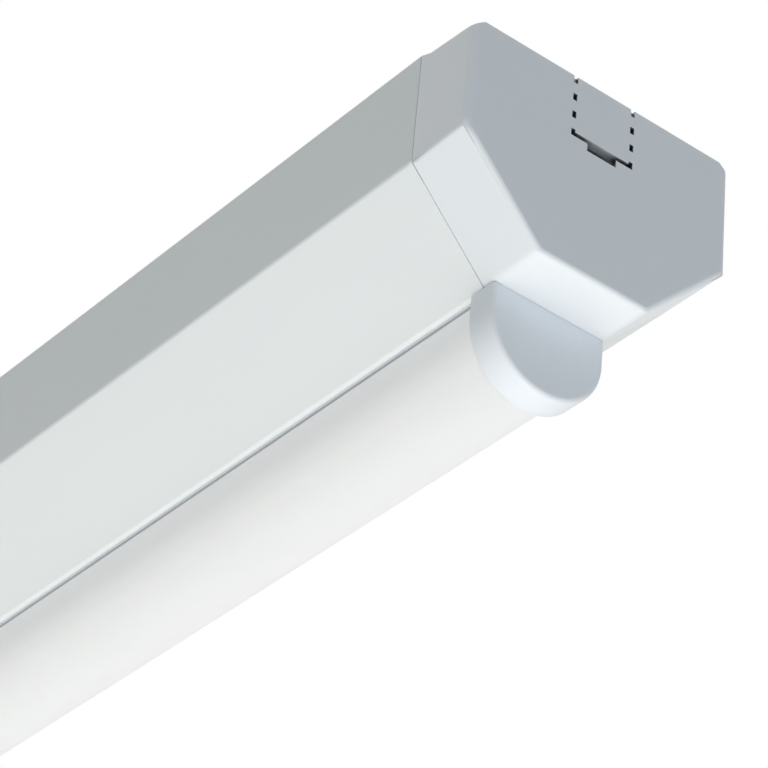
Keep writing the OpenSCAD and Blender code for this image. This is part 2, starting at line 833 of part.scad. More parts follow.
module driver_lid() color(moulded_white)
    translate([0, 0, web_top + driver_h - lid_t]) linear_extrude(lid_t) rounded_outline(
        [
            [driver_left + lid_lip, lid_lip - driver_w / 2], [driver_right - lid_lip, lid_lip - driver_w / 2],
            [driver_right - lid_lip, driver_w / 2 - lid_lip], [driver_left + lid_lip, driver_w / 2 - lid_lip]
        ],
        [for (i = [0 : 3]) driver_corner_r]
    );

// The driver's screws point down through its ears into the web
module driver_screws() color(zinc) for (x = [driver_left - ear_l / 2, driver_right + ear_l / 2])
    translate([0, 0, 2 * (web_top + ear_t)]) mirror([0, 0, 1])
        screw(x, 0, web_top + ear_t, web_top + ear_t + ear_t + cover_t + seat_gap, screw_r, screw_head_r,
            screw_head_h);

module driver_leads() for (k = [-1, 1])
    color(k < 0 ? live_brown : neutral_blue)
        long_rod(driver_right - lead_in, dock_x - dock_half_l + lead_in, k * driver_lead_y,
            driver_lead_z, lead_d / 2);

module led_leads() for (k = [-1, 1])
    color(k < 0 ? lead_red : lead_black) lead(
        [
            [driver_left + lead_in, k * fine_lead_y, fine_lead_z],
            [bush_x, k * fine_lead_y, fine_lead_z],
            [bush_x, k * fine_lead_y, led_z - connector_in],
            [-carrier_half_l + seat_gap + fine_lead_in, k * fine_lead_y, led_z - connector_in]
        ],
        fine_lead_d, fine_bend_r
    );

module lead_bush() color(rubber_grey) translate([bush_x, 0, 0]) rotate_extrude() outline([
    [lead_bush_bore_r, web_top + lead_bush_t], [lead_bush_r, web_top + lead_bush_t], [lead_bush_r, web_top],
    [bush_hole_r - seat_gap, web_top], [bush_hole_r - seat_gap, web_z], [lead_bush_r, web_z],
    [lead_bush_r, web_z - lead_bush_t], [lead_bush_bore_r, web_z - lead_bush_t]
]);

module lead_clips() color(moulded_white) for (x = lead_clip_x) difference() {
    block(
        [x, -lead_clip_half_w, web_top],
        [x + lead_clip_l, lead_clip_half_w, driver_lead_z + lead_d / 4]
    );
    for (k = [-1, 1]) long_rod(x - over, x + lead_clip_l + over, k * driver_lead_y, driver_lead_z,
        lead_d / 2 + seat_gap);
}

module cover_earth_stud() {
    color(zinc) post(stud_x, 0, web_top, web_top + stud_foot_t, stud_foot_r);
    color(zinc) post(stud_x, 0, web_top, web_top + stud_h, stud_r);
    color(brass) translate([stud_x, 0, web_top + stud_foot_t + tag_t]) difference() {
        rotate([0, 0, 30]) cylinder(h = nut_h, r = nut_r, $fn = 6);
        translate([0, 0, -over]) cylinder(h = nut_h + 2 * over, r = stud_r + run_gap);
    }
}

module cover_earth_lead() {
    ring_z = web_top + stud_foot_t;
    barrel_z = ring_z + tag_t + lead_d / 2;
    barrel_end = stud_x - ring_r - barrel_l;
    color(zinc) difference() {
        union() {
            post(stud_x, 0, ring_z, ring_z + tag_t, ring_r);
            block([barrel_end, -lead_d / 2, ring_z], [stud_x, lead_d / 2, ring_z + tag_t]);
        }
        post(stud_x, 0, ring_z - over, ring_z + tag_t + over, stud_r + run_gap);
    }
    color(earth_green) lead(
        [
            [dock_x + dock_half_l - lead_in, 0, driver_lead_z],
            [barrel_end - lead_d, 0, driver_lead_z],
            [barrel_end - lead_d, 0, barrel_z],
            [barrel_end + barrel_l - seat_gap, 0, barrel_z]
        ],
        lead_d, earth_bend_r
    );
}

// Rail along the right edge of the carrier, with its snap bead outside
rail_line = [
    [carrier_w / 2 - rail_t, board_z + carrier_t / 2], [carrier_w / 2 - rail_t, rail_z],
    [carrier_w / 2, rail_z], [carrier_w / 2 + bead, rail_z + bead],
    [carrier_w / 2 + bead, rail_z + bead * 1.4], [carrier_w / 2, rail_z + bead * 2.4],
    [carrier_w / 2, board_z + carrier_t / 2]
];

module led_carrier() color(aluminium) difference() {
    along_x(-carrier_half_l, carrier_half_l) {
        translate([-carrier_w / 2, board_z]) square([carrier_w, carrier_t]);
        outline(rail_line);
        outline(flipped(rail_line));
    }
    for (x = rivet_places()) post(x, 0, board_z - over, web_z + over, rivet_head_r + rivet_clear);
    for (x = [driver_left - ear_l / 2, driver_right + ear_l / 2])
        post(x, 0, board_z - over, web_z + over, screw_pass_r);
    for (x = board_screw_places()) post(x, 0, board_z - over, web_z + over, screw_pass_r);
}

// One LED board, on the side s of the middle
module led_board(s) color(board_white) difference() {
    x0 = s > 0 ? board_gap / 2 : -board_gap / 2 - board_l;
    block([x0, -board_w / 2, led_z], [x0 + board_l, board_w / 2, board_z]);
    for (x = board_screw_places()) post(x, 0, led_z - over, board_z + over, screw_pass_r);
}
module led_board_left() led_board(-1);
module led_board_right() led_board(1);

// Row of LED packages, each leaving the board's screws free
module led_packages(s) color(phosphor) for (i = [0 : led_count - 1]) {
    x = s * (board_gap / 2 + led_margin + i * led_pitch);
    clear = min([for (p = board_screw_places()) abs(p - x)]);
    if (clear > board_screw_head_r + led_l / 2 + seat_gap)
        block([x - led_l / 2, -led_w / 2, led_z - led_h], [x + led_l / 2, led_w / 2, led_z]);
}
module led_packages_left() led_packages(-1);
module led_packages_right() led_packages(1);

// One connector at the feed end, and one over the joint of the two boards
module board_connectors() color(board_white) {
    difference() {
        block(
            [-carrier_half_l + seat_gap, -connector_w / 2, led_z - connector_h],
            [-carrier_half_l + seat_gap + connector_l, connector_w / 2, led_z]
        );
        for (k = [-1, 1]) long_rod(
            -carrier_half_l - over, -carrier_half_l + seat_gap + connector_bore_l, k * fine_lead_y,
            led_z - connector_in, fine_lead_d / 2 + seat_gap
        );
    }
    block(
        [-connector_l / 2, -connector_w / 2, led_z - connector_h / 2],
        [connector_l / 2, connector_w / 2, led_z]
    );
}

module board_screws() color(zinc) for (x = board_screw_places())
    screw(x, 0, led_z, web_top - seat_gap, screw_r, board_screw_head_r, board_screw_head_h);

// Round-bottomed outline, half width r, its flat top at z_top
module trough(r, z_top) difference() {
    union() {
        translate([0, round_z]) circle(r);
        translate([-r, round_z]) square([2 * r, z_top - round_z]);
    }
    translate([-r - over, z_top]) square([2 * (r + over), r]);
}

// Snap bead inside the top of the diffuser's leg
bead_line = [
    [inner_r + diffuser_t / 2, leg_z], [inner_r - bead * 0.4, leg_z],
    [inner_r - bead, leg_z - bead * 0.6], [inner_r - bead, leg_z - bead],
    [inner_r, leg_z - bead * 1.6], [inner_r + diffuser_t / 2, leg_z - bead * 1.6]
];

module diffuser() color(opal) difference() {
    end_x = dcap_front - dcap_end_t - seat_gap;
    along_x(-end_x, end_x) {
        difference() {
            trough(diffuser_r, leg_z);
            trough(inner_r, leg_z + over);
        }
        outline(bead_line);
        outline(flipped(bead_line));
    }
    for (s = [0, 1]) mirror([s, 0, 0]) block(
        [cover_half_l - leg_end_gap, -diffuser_r - over, dcap_top - dcap_roof_t - seat_gap],
        [end_x + over, diffuser_r + over, 0]
    );
}

module diffuser_cap_right() color(moulded_white) difference() {
    ring_r2 = dcap_outer_r - dcap_r;
    union() {
        along_x(dcap_rear, dcap_front - dcap_r) trough(dcap_outer_r, dcap_top);
        along_x(dcap_rear, dcap_front) trough(ring_r2, dcap_top);
        intersection() {
            union() {
                translate([dcap_front - dcap_r, 0, round_z]) rotate([0, 90, 0])
                    rotate_extrude() translate([ring_r2, 0]) circle(dcap_r);
                for (s = [-1, 1]) post(dcap_front - dcap_r, s * ring_r2, round_z, dcap_top, dcap_r);
            }
            block(
                [dcap_rear, -dcap_outer_r - over, round_z - dcap_outer_r - over],
                [dcap_front + over, dcap_outer_r + over, dcap_top]
            );
        }
    }
    along_x(dcap_rear - over, dcap_front - dcap_end_t) trough(diffuser_r + seat_gap, dcap_top - dcap_roof_t);
    block(
        [dcap_rear - over, -diffuser_r - seat_gap, round_z],
        [cover_half_l - leg_end_gap + seat_gap, diffuser_r + seat_gap, dcap_top + over]
    );
}
module diffuser_cap_left() mirror([1, 0, 0]) diffuser_cap_right();

// Outline of the body from its top left corner round to its top right
body_line = [
    [-half_w, 0], [-half_w, -side_h], [-bottom_half, -body_h],
    [bottom_half, -body_h], [half_w, -side_h], [half_w, 0]
];

// The body's outline moved in by t, its long edges rounded to r_side and r_low, cut off at z_top
module body_outline(t, r_side, r_low, z_top) {
    p = left_of(body_line, t);
    rounded_outline(
        concat([[p[0][0], z_top]], [for (i = [1 : 4]) p[i]], [[p[5][0], z_top]]),
        [0, r_side, r_low, r_low, r_side, 0]
    );
}

// Rounds the edge between the end face and the flat that runs from a to b
module face_edge(a, b, r) {
    u = unit(b - a);
    out = -across(u);
    reach = norm(b - a) + 2 * over;
    base = a - u * over;
    multmatrix([
        [1, 0, 0, x_face],
        [0, out[0], u[0], base[0]],
        [0, out[1], u[1], base[1]],
        [0, 0, 0, 1]
    ])
        linear_extrude(reach) difference() {
            translate([-r, -r]) square([r + over, r + over]);
            translate([-r, -r]) circle(r);
        }
}

module end_cap_right() color(moulded_white) {
    spigot_in = cover_t + spigot_gap;
    difference() {
        union() {
            difference() {
                along_x(x_open, x_face) body_outline(0, side_bend_r + cover_t, cap_edge_r, 0);
                for (i = [0 : 4])
                    face_edge(body_line[i], body_line[i + 1], i == 0 || i == 4 ? cap_side_r : cap_low_r);
                along_x(x_open - over, x_face - cap_end_t) body_outline(cap_t, side_bend_r, 0, over);
            }
            difference() {
                along_x(x_open - spigot_l, x_open + cap_t)
                    body_outline(spigot_in, side_bend_r - spigot_gap, 0, -spigot_top);
                along_x(x_open - spigot_l - over, x_open + cap_t + over)
                    body_outline(spigot_in + spigot_wall, side_bend_r - spigot_gap - spigot_wall, 0, over);
                block(
                    [x_open - spigot_l - over, -bottom_half - spigot_side, -body_h - over],
                    [x_open, bottom_half + spigot_side, 0]
                );
            }
            guide_rails();
        }
        for (s = [0, 1]) mirror([0, s, 0]) corner_cut();
        knock_out();
    }
}
module end_cap_left() mirror([1, 0, 0]) end_cap_right();

// Slanted cut along a top corner: full depth at the end face, less at the ramp, nothing at the seam
module corner_cut() {
    slant = atan2(corner_cut_h, corner_cut_w);
    depth = corner_cut_h * cos(slant);
    ramp_depth = depth * corner_ramp_share;
    translate([x_face, half_w, 0]) rotate([-slant, 0, 0]) intersection() {
        translate([0, 0, -depth]) rotate([0, atan2(depth - ramp_depth, cap_l - corner_ramp_l), 0])
            block([-2 * cap_l, -half_w / 2, 0], [cap_l, half_w / 2, cap_l]);
        translate([-cap_l, 0, 0]) rotate([0, atan2(ramp_depth, corner_ramp_l), 0])
            block([-cap_l, -half_w / 2, 0], [2 * cap_l, half_w / 2, 2 * cap_l]);
    }
}

// Rails that slide onto the lips of the spine
module guide_rails() for (s = [0, 1]) mirror([0, s, 0]) {
    lip_in = spine_half_w - spine_lip - guide_gap;
    floor_z = -spine_h - guide_gap;
    block(
        [x_open - spigot_l, lip_in - guide_t, floor_z - guide_t],
        [x_face - cap_end_t + over / 2, half_w - cover_t - spigot_gap - spigot_wall / 2, floor_z]
    );
    block(
        [x_open - spigot_l, lip_in - guide_t, floor_z - guide_t],
        [x_face - cap_end_t + over / 2, lip_in, floor_z + guide_up]
    );
}

// Slits and pry notch that let the trunking knock-out be broken out
module knock_out() {
    pitch = (knock_h - slit_l) / (slit_count - 1);
    x0 = x_face - cap_end_t - over;
    x1 = x_face + over;
    for (s = [-1, 1], i = [0 : slit_count - 1]) {
        y = s * (knock_w - slit_w) / 2;
        block(
            [x0, y - slit_w / 2, -i * pitch - slit_l], [x1, y + slit_w / 2, -i * pitch + (i == 0 ? over : 0)]
        );
    }
    block([x0, -knock_w / 2, -knock_h], [x1, knock_w / 2, -knock_h + slit_w]);
    block([x0, -notch_w / 2, -knock_h - notch_h], [x1, notch_w / 2, -knock_h + slit_w]);
}

spine();
cable_bush();
cable_clamp();
cable_clamp_screws();
terminal_block();
terminal_clamps();
lever_live();
lever_neutral();
lever_earth();
earth_tag();
earth_screw();
docking_socket();
supply_leads();
body_cover();
retaining_clip_left();
retaining_clip_right();
clip_rivets();
docking_plug();
docking_blades();
driver_case();
driver_lid();
driver_screws();
driver_leads();
led_leads();
lead_bush();
lead_clips();
cover_earth_stud();
cover_earth_lead();
led_carrier();
led_board_left();
led_board_right();
led_packages_left();
led_packages_right();
board_connectors();
board_screws();
diffuser();
diffuser_cap_left();
diffuser_cap_right();
end_cap_left();
end_cap_right();
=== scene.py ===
# Linear LED batten on a ceiling: the looks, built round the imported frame
import json
import math

import bmesh
import bpy
import numpy as np
from mathutils import Matrix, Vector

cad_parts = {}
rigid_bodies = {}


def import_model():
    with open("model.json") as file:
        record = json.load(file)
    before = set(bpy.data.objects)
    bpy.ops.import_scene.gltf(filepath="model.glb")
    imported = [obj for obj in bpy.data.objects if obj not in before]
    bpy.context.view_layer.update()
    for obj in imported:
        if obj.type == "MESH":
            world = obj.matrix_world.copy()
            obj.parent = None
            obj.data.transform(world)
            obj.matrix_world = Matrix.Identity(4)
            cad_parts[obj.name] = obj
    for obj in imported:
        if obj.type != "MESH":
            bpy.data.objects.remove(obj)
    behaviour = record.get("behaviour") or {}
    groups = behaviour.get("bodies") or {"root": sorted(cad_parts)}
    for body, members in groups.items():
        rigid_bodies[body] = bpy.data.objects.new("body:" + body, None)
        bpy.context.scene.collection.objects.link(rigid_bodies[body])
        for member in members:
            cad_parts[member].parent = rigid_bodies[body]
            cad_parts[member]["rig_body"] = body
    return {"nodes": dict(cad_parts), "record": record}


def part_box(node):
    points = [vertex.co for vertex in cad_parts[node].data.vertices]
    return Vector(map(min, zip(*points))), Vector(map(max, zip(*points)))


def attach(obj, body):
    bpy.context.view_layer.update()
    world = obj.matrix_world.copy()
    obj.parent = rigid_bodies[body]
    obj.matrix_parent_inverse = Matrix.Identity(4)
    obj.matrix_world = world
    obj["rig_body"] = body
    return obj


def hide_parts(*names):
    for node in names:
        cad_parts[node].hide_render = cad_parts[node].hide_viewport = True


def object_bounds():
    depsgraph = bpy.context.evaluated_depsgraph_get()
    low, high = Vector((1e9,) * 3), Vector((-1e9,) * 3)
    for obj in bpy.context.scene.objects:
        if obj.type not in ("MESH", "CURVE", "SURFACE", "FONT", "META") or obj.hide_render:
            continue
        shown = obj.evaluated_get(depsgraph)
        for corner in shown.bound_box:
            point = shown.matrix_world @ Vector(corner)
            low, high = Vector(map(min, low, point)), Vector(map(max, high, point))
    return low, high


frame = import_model()
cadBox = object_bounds()
mm = 0.001
nodes = frame["nodes"]
print("frame loaded:", len(nodes), "nodes")


# Colour from an sRGB hex string to linear red, green, blue and alpha
def hexToLinear(text):
    values = np.array([int(text[i:i + 2], 16) for i in (1, 3, 5)]) / 255
    linear = np.where(values <= 0.04045, values / 12.92, ((values + 0.055) / 1.055) ** 2.4)
    return (*linear.tolist(), 1.0)


# Sets a node's inputs, and links those given as (node, output)
def setInputs(tree, node, inputs):
    for name, value in inputs.items():
        if isinstance(value, tuple) and isinstance(value[0], bpy.types.Node):
            tree.links.new(value[0].outputs[value[1]], node.inputs[name])
        else:
            node.inputs[name].default_value = value


# Adds one shader node with its properties and inputs
def addNode(tree, kind, settings=None, inputs=None):
    node = tree.nodes.new("ShaderNode" + kind)
    for name, value in (settings or {}).items():
        setattr(node, name, value)
    setInputs(tree, node, inputs or {})
    return node


# Camera, set as the photograph's was: metres from the middle of the near end face's top edge
camera = {
    "lens": 166.74,
    "sensor": 36.0,
    "clip": (0.05, 50),
    "fromNearEnd": (0.41866, -0.34317, -0.46302),
    "right": (0.62084, 0.78001, 0.07833),
    "down": (-0.41759, 0.41362, -0.80904),
    "forward": (-0.66346, 0.46958, 0.58251),
}


def makeCamera():
    data = bpy.data.cameras.new("camera")
    data.lens = camera["lens"]
    data.sensor_width = camera["sensor"]
    data.clip_start, data.clip_end = camera["clip"]
    body = bpy.data.objects.new("camera", data)
    bpy.context.scene.collection.objects.link(body)
    up, back = [[-value for value in camera[name]] for name in ("down", "forward")]
    turn = Matrix((camera["right"], up, back)).transposed()
    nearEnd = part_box("end_cap_right")[1].x
    shift = camera["fromNearEnd"]
    body.matrix_world = Matrix.Translation((nearEnd + shift[0], shift[1], shift[2])) @ turn.to_4x4()
    bpy.context.scene.camera = body


makeCamera()
print("camera placed")


# Room: the light comes mostly from below, as where a pale floor throws daylight up at a ceiling
room = {
    "floorDrop": 3.6,
    "floorSize": 14.0,
    "floorColour": "#F2F2F0",
    "skyColour": "#F4F7F6",
    "skyStrength": 0.21,
    "lamps": [
        {"name": "broadBelow", "place": (0.4, -0.25, -1.5), "aim": (0.15, 0, 0), "size": (3.4, 3.4),
         "watts": 45.5, "colour": "#FFFFFF"},
        {"name": "floorGlow", "place": (0.2, -0.1, -3.0), "aim": (0.1, 0, 0), "size": (1.2, 1.2),
         "watts": 10, "colour": "#FFE4C4"},
        {"name": "softAbove", "place": (0, -0.1, 4.0), "aim": (0, 0, 0), "size": (1.2, 1.2),
         "watts": 66, "colour": "#FFFFFF"},
        {"name": "endWindow", "place": (3.2, 0.1, -0.25), "aim": (0.2, 0, 0), "size": (1.6, 1.2),
         "watts": 4.6, "colour": "#A6D4FF"},
    ],
}


# Surface that camera, mirror and glass rays see as plain white, and that lights the rest as given
def whiteToCamera(tree, litBy, outKind):
    path = addNode(tree, "LightPath")
    seen = addNode(tree, "Math", {"operation": "MAXIMUM"},
                   {0: (path, "Is Camera Ray"), 1: (path, "Is Glossy Ray")})
    anySeen = addNode(tree, "Math", {"operation": "MAXIMUM"},
                      {0: (seen, "Value"), 1: (path, "Is Transmission Ray")})
    white = addNode(tree, "Background" if outKind.endswith("World") else "Emission",
                    None, {"Color": (1, 1, 1, 1), "Strength": 1.0})
    mix = addNode(tree, "MixShader", None, {0: (anySeen, "Value"), 1: (litBy, 0), 2: (white, 0)})
    addNode(tree, outKind, None, {"Surface": (mix, 0)})


def makeRoom():
    scene = bpy.context.scene
    scene.view_settings.view_transform = "Standard"
    world = bpy.data.worlds.new("room")
    world.use_nodes = True
    world.node_tree.nodes.clear()
    sky = addNode(world.node_tree, "Background", None,
                  {"Color": hexToLinear(room["skyColour"]), "Strength": room["skyStrength"]})
    whiteToCamera(world.node_tree, sky, "OutputWorld")
    scene.world = world

    half = room["floorSize"] / 2
    height = cadBox[0].z - room["floorDrop"]
    mesh = bpy.data.meshes.new("floor")
    corners = [(-half, -half, height), (half, -half, height), (half, half, height), (-half, half, height)]
    mesh.from_pydata(corners, [], [(0, 1, 2, 3)])
    floor = bpy.data.objects.new("floor", mesh)
    scene.collection.objects.link(floor)
    paint = bpy.data.materials.new("paleFloor")
    paint.use_nodes = True
    paint.node_tree.nodes.clear()
    matt = addNode(paint.node_tree, "BsdfDiffuse", None, {"Color": hexToLinear(room["floorColour"])})
    whiteToCamera(paint.node_tree, matt, "OutputMaterial")
    mesh.materials.append(paint)

    for lamp in room["lamps"]:
        data = bpy.data.lights.new(lamp["name"], "AREA")
        data.shape = "RECTANGLE"
        data.size, data.size_y = lamp["size"]
        data.energy = lamp["watts"]
        data.color = hexToLinear(lamp["colour"])[:3]
        body = bpy.data.objects.new(lamp["name"], data)
        scene.collection.objects.link(body)
        place = np.array(lamp["place"])
        back = place - np.array(lamp["aim"])
        back /= np.linalg.norm(back)
        side = np.cross((0, 1, 0), back)
        side /= np.linalg.norm(side)
        turn = Matrix(np.column_stack((side, np.cross(back, side), back)))
        body.matrix_world = Matrix.Translation(place) @ turn.to_4x4()
        body.visible_camera = False
        body.visible_glossy = False


makeRoom()
print("room lit")


# A colour mix takes its two colours at inputs 6 and 7 and gives the result at output 2
colourMix = {"data_type": "RGBA"}


# Starts a material: its shader with the settings given, and its place in Object coordinates, in metres
def startMaterial(name, settings):
    material = bpy.data.materials.new(name)
    material.use_nodes = True
    tree = material.node_tree
    tree.nodes.clear()
    shader = addNode(tree, "BsdfPrincipled", None, settings)
    addNode(tree, "OutputMaterial", None, {"Surface": (shader, "BSDF")})
    return material, tree, shader, (addNode(tree, "TexCoord"), "Object")


# Ends a material: its colour, relief and roughness go into its shader
def finishMaterial(material, shader, tint, bump, gloss):
    setInputs(material.node_tree, shader,
              {"Base Color": (tint, 2), "Normal": (bump, "Normal"), "Roughness": (gloss, "Result")})
    return material


# Polyester powder coat on sheet steel: it flows out with a soft orange peel about 2 mm across, which
# breaks up the edge of a highlight and leaves flat faces even
def powderCoat(name, colour, shade):
    material, tree, shader, place = startMaterial(
        name, {"Roughness": 0.42, "IOR": 1.5, "Specular IOR Level": 0.5})
    cloud = addNode(tree, "TexNoise", None, {"Vector": place, "Scale": 1 / (45 * mm), "Detail": 2.0})
    tint = addNode(tree, "Mix", colourMix,
                   {0: (cloud, "Fac"), 6: hexToLinear(colour), 7: hexToLinear(shade)})
    peel = addNode(tree, "TexNoise", None,
                   {"Vector": place, "Scale": 1 / (1.9 * mm), "Detail": 1.5, "Roughness": 0.45})
    grain = addNode(tree, "TexNoise", None, {"Vector": place, "Scale": 1 / (0.35 * mm), "Detail": 1.0})
    fine = addNode(tree, "Bump", None,
                   {"Height": (grain, "Fac"), "Distance": 0.003 * mm, "Strength": 0.5})
    bump = addNode(tree, "Bump", None,
                   {"Height": (peel, "Fac"), "Distance": 0.022 * mm, "Strength": 0.8,
                    "Normal": (fine, "Normal")})
    gloss = addNode(tree, "MapRange", None, {"Value": (grain, "Fac"), "To Min": 0.37, "To Max": 0.47})
    return finishMaterial(material, shader, tint, bump, gloss)


# Moulded thermoplastic: the mould's spark-eroded skin gives it a fine even grain, and light goes a little
# way in at its edges. Where walls are nearer than the given reach, as inside slits, the colour is darkened
# with painted shade above the given floor height; it stands in for the shade that falls in such recesses.
# Sizes are in mm: grain is the skin's grain and its depth, flow the size of faint streaks
def mouldedPlastic(name, colour, shade, settings, grain, flow=30,
                   slitShadeReach=0, slitShadeFloor=-30, slitShadeColour="#242A30"):
    material, tree, shader, place = startMaterial(name, settings)
    streaks = addNode(tree, "TexNoise", None,
                      {"Vector": place, "Scale": 1 / (flow * mm), "Detail": 3.0, "Distortion": 0.6})
    tint = addNode(tree, "Mix", colourMix,
                   {0: (streaks, "Fac"), 6: hexToLinear(colour), 7: hexToLinear(shade)})
    # painted shade: near walls darken the colour towards a dark tone, as shade falls in slits and recesses
    if slitShadeReach:
        occlusion = addNode(tree, "AmbientOcclusion", {"samples": 6}, {"Distance": slitShadeReach * mm})
        unshaded = addNode(tree, "MapRange", None,
                           {"Value": (occlusion, "AO"), "From Min": 0.45, "From Max": 0.95})
        height = addNode(tree, "SeparateXYZ", None, {"Vector": place})
        below = addNode(tree, "Math", {"operation": "LESS_THAN"}, {0: (height, "Z"), 1: slitShadeFloor * mm})
        unshaded = addNode(tree, "Math", {"operation": "MAXIMUM"},
                           {0: (unshaded, "Result"), 1: (below, "Value")})
        tint = addNode(tree, "Mix", colourMix,
                       {0: (unshaded, "Value"), 6: hexToLinear(slitShadeColour), 7: (tint, 2)})
    skin = addNode(tree, "TexNoise", None,
                   {"Vector": place, "Scale": 1 / (grain[0] * mm), "Detail": 2.0, "Roughness": 0.6})
    bump = addNode(tree, "Bump", None,
                   {"Height": (skin, "Fac"), "Distance": grain[1] * mm, "Strength": 0.9})
    rough = settings["Roughness"]
    gloss = addNode(tree, "MapRange", None,
                    {"Value": (skin, "Fac"), "To Min": rough - 0.05, "To Max": rough + 0.06})
    return finishMaterial(material, shader, tint, bump, gloss)


# Light goes equally deep into white plastic in red, green and blue
neutralDepth = (1.0, 1.0, 1.0)

# Heights in mm where the opal wall's painted shade changes: from its darker round bottom up to its
# lighter legs, and along the painted shadow line, which fades in over its lower and out over its upper pair
opalHeights = {"wall": (-67, -50), "gapShadowFrom": (-48.0, -47.75), "gapShadowTo": (-46.9, -47.2)}


# Extruded opal polycarbonate: white pigment scatters light through the wall, so its shading is soft and
# neutral. A faint even emission is painted light: the unlit trough glows a little all over, as if daylight
# that went in elsewhere came back out. Its colour holds painted shade, darker at the round bottom and
# lighter up the legs, and a painted shadow line just under the slot's edge; the die leaves very faint
# lines along its satin skin
def opalTrough(name, bottom, legs, lineShade, gapShadowColour, paintedGlowColour):
    wallFrom, wallTo = [height * mm for height in opalHeights["wall"]]
    lowFrom, lowTo = [height * mm for height in opalHeights["gapShadowFrom"]]
    highFrom, highTo = [height * mm for height in opalHeights["gapShadowTo"]]
    # painted light: the Emission makes the unlit trough glow faintly and evenly
    material, tree, shader, place = startMaterial(
        name, {"Roughness": 0.36, "IOR": 1.58, "Subsurface Weight": 1.0, "Subsurface Scale": 5.5 * mm,
               "Subsurface Radius": neutralDepth, "Emission Color": hexToLinear(paintedGlowColour),
               "Emission Strength": 0.16})
    height = addNode(tree, "SeparateXYZ", None, {"Vector": place})
    # painted shade: the colour is darker at the round bottom and lighter up the legs
    shadeRamp = addNode(tree, "MapRange", {"interpolation_type": "SMOOTHSTEP"},
                     {"Value": (height, "Z"), "From Min": wallFrom, "From Max": wallTo})
    wall = addNode(tree, "Mix", colourMix,
                   {0: (shadeRamp, "Result"), 6: hexToLinear(bottom), 7: hexToLinear(legs)})
    scales = [1 / (size * mm) for size in (400, 2.5, 2.5)]
    stretched = addNode(tree, "Mapping", None, {"Vector": place, "Scale": scales})
    lines = addNode(tree, "TexNoise", None,
                    {"Vector": (stretched, "Vector"), "Scale": 1.0, "Detail": 2.0, "Roughness": 0.5})
    faint = addNode(tree, "MapRange", None,
                    {"Value": (lines, "Fac"), "From Min": 0.35, "From Max": 0.75, "To Max": 0.12})
    tint = addNode(tree, "Mix", colourMix,
                   {0: (faint, "Result"), 6: (wall, 2), 7: hexToLinear(lineShade)})
    # painted shadow: a thin dark line just under the slot's edge, where the wall goes up past the lip;
    # subsurface is off along it
    fromBelow = addNode(tree, "MapRange", None,
                        {"Value": (height, "Z"), "From Min": lowFrom, "From Max": lowTo})
    fromAbove = addNode(tree, "MapRange", None,
                        {"Value": (height, "Z"), "From Min": highFrom, "From Max": highTo})
    gapShadow = addNode(tree, "Math", {"operation": "MULTIPLY"},
                   {0: (fromBelow, "Result"), 1: (fromAbove, "Result")})
    tint = addNode(tree, "Mix", colourMix, {0: (gapShadow, "Value"), 6: (tint, 2), 7: hexToLinear(gapShadowColour)})
    clear = addNode(tree, "Math", {"operation": "SUBTRACT"}, {0: 1.0, 1: (gapShadow, "Value")})
    gloss = addNode(tree, "MapRange", None, {"Value": (lines, "Fac"), "To Min": 0.34, "To Max": 0.39})
    skin = addNode(tree, "TexNoise", None, {"Vector": place, "Scale": 1 / (0.4 * mm), "Detail": 2.0})
    bump = addNode(tree, "Bump", None, {"Height": (skin, "Fac"), "Distance": 0.003 * mm, "Strength": 0.5})
    setInputs(tree, shader, {"Subsurface Weight": (clear, "Value")})
    return finishMaterial(material, shader, tint, bump, gloss)


# Drawn or rolled metal: fine lines run one way, spacing mm apart across it and nearly endless along it,
# so a highlight is stretched across them, and a faint cloud keeps large faces from looking flat
def linedMaterial(name, colour, shade, settings, along, spacing, depth, cloudSize=12):
    material, tree, shader, place = startMaterial(name, settings)
    scales = [1 / (spacing * mm)] * 3
    scales["XYZ".index(along)] = 1 / (160 * mm)
    stretched = addNode(tree, "Mapping", None, {"Vector": place, "Scale": scales})
    lines = addNode(tree, "TexNoise", None,
                    {"Vector": (stretched, "Vector"), "Scale": 1.0, "Detail": 3.0, "Roughness": 0.6})
    cloud = addNode(tree, "TexNoise", None,
                    {"Vector": place, "Scale": 1 / (cloudSize * mm), "Detail": 2.0})
    blend = addNode(tree, "Math", {"operation": "MULTIPLY"}, {0: (lines, "Fac"), 1: (cloud, "Fac")})
    spread = addNode(tree, "MapRange", None,
                     {"Value": (blend, "Value"), "From Min": 0.1, "From Max": 0.4})
    tint = addNode(tree, "Mix", colourMix,
                   {0: (spread, "Result"), 6: hexToLinear(colour), 7: hexToLinear(shade)})
    rough = settings["Roughness"]
    gloss = addNode(tree, "MapRange", None,
                    {"Value": (lines, "Fac"), "From Min": 0.25, "From Max": 0.75,
                     "To Min": rough - 0.09, "To Max": rough + 0.09})
    bump = addNode(tree, "Bump", None,
                   {"Height": (lines, "Fac"), "Distance": depth * mm, "Strength": 0.8})
    return finishMaterial(material, shader, tint, bump, gloss)


# Zinc plate, clear passivated: bright grains a few tenths of a millimetre across, faintly blue and straw
def zincPlate(name, blueish, strawish):
    material, tree, shader, place = startMaterial(name, {"Metallic": 1.0, "Roughness": 0.3})
    grain = addNode(tree, "TexVoronoi", None, {"Vector": place, "Scale": 1 / (0.5 * mm)})
    film = addNode(tree, "TexNoise", None, {"Vector": place, "Scale": 1 / (5 * mm), "Detail": 3.0})
    tint = addNode(tree, "Mix", colourMix,
                   {0: (film, "Fac"), 6: hexToLinear(blueish), 7: hexToLinear(strawish)})
    gloss = addNode(tree, "MapRange", None,
                    {"Value": (grain, "Distance"), "From Max": 0.8, "To Min": 0.24, "To Max": 0.38})
    bump = addNode(tree, "Bump", None,
                   {"Height": (grain, "Distance"), "Distance": 0.004 * mm, "Strength": 0.6})
    return finishMaterial(material, shader, tint, bump, gloss)


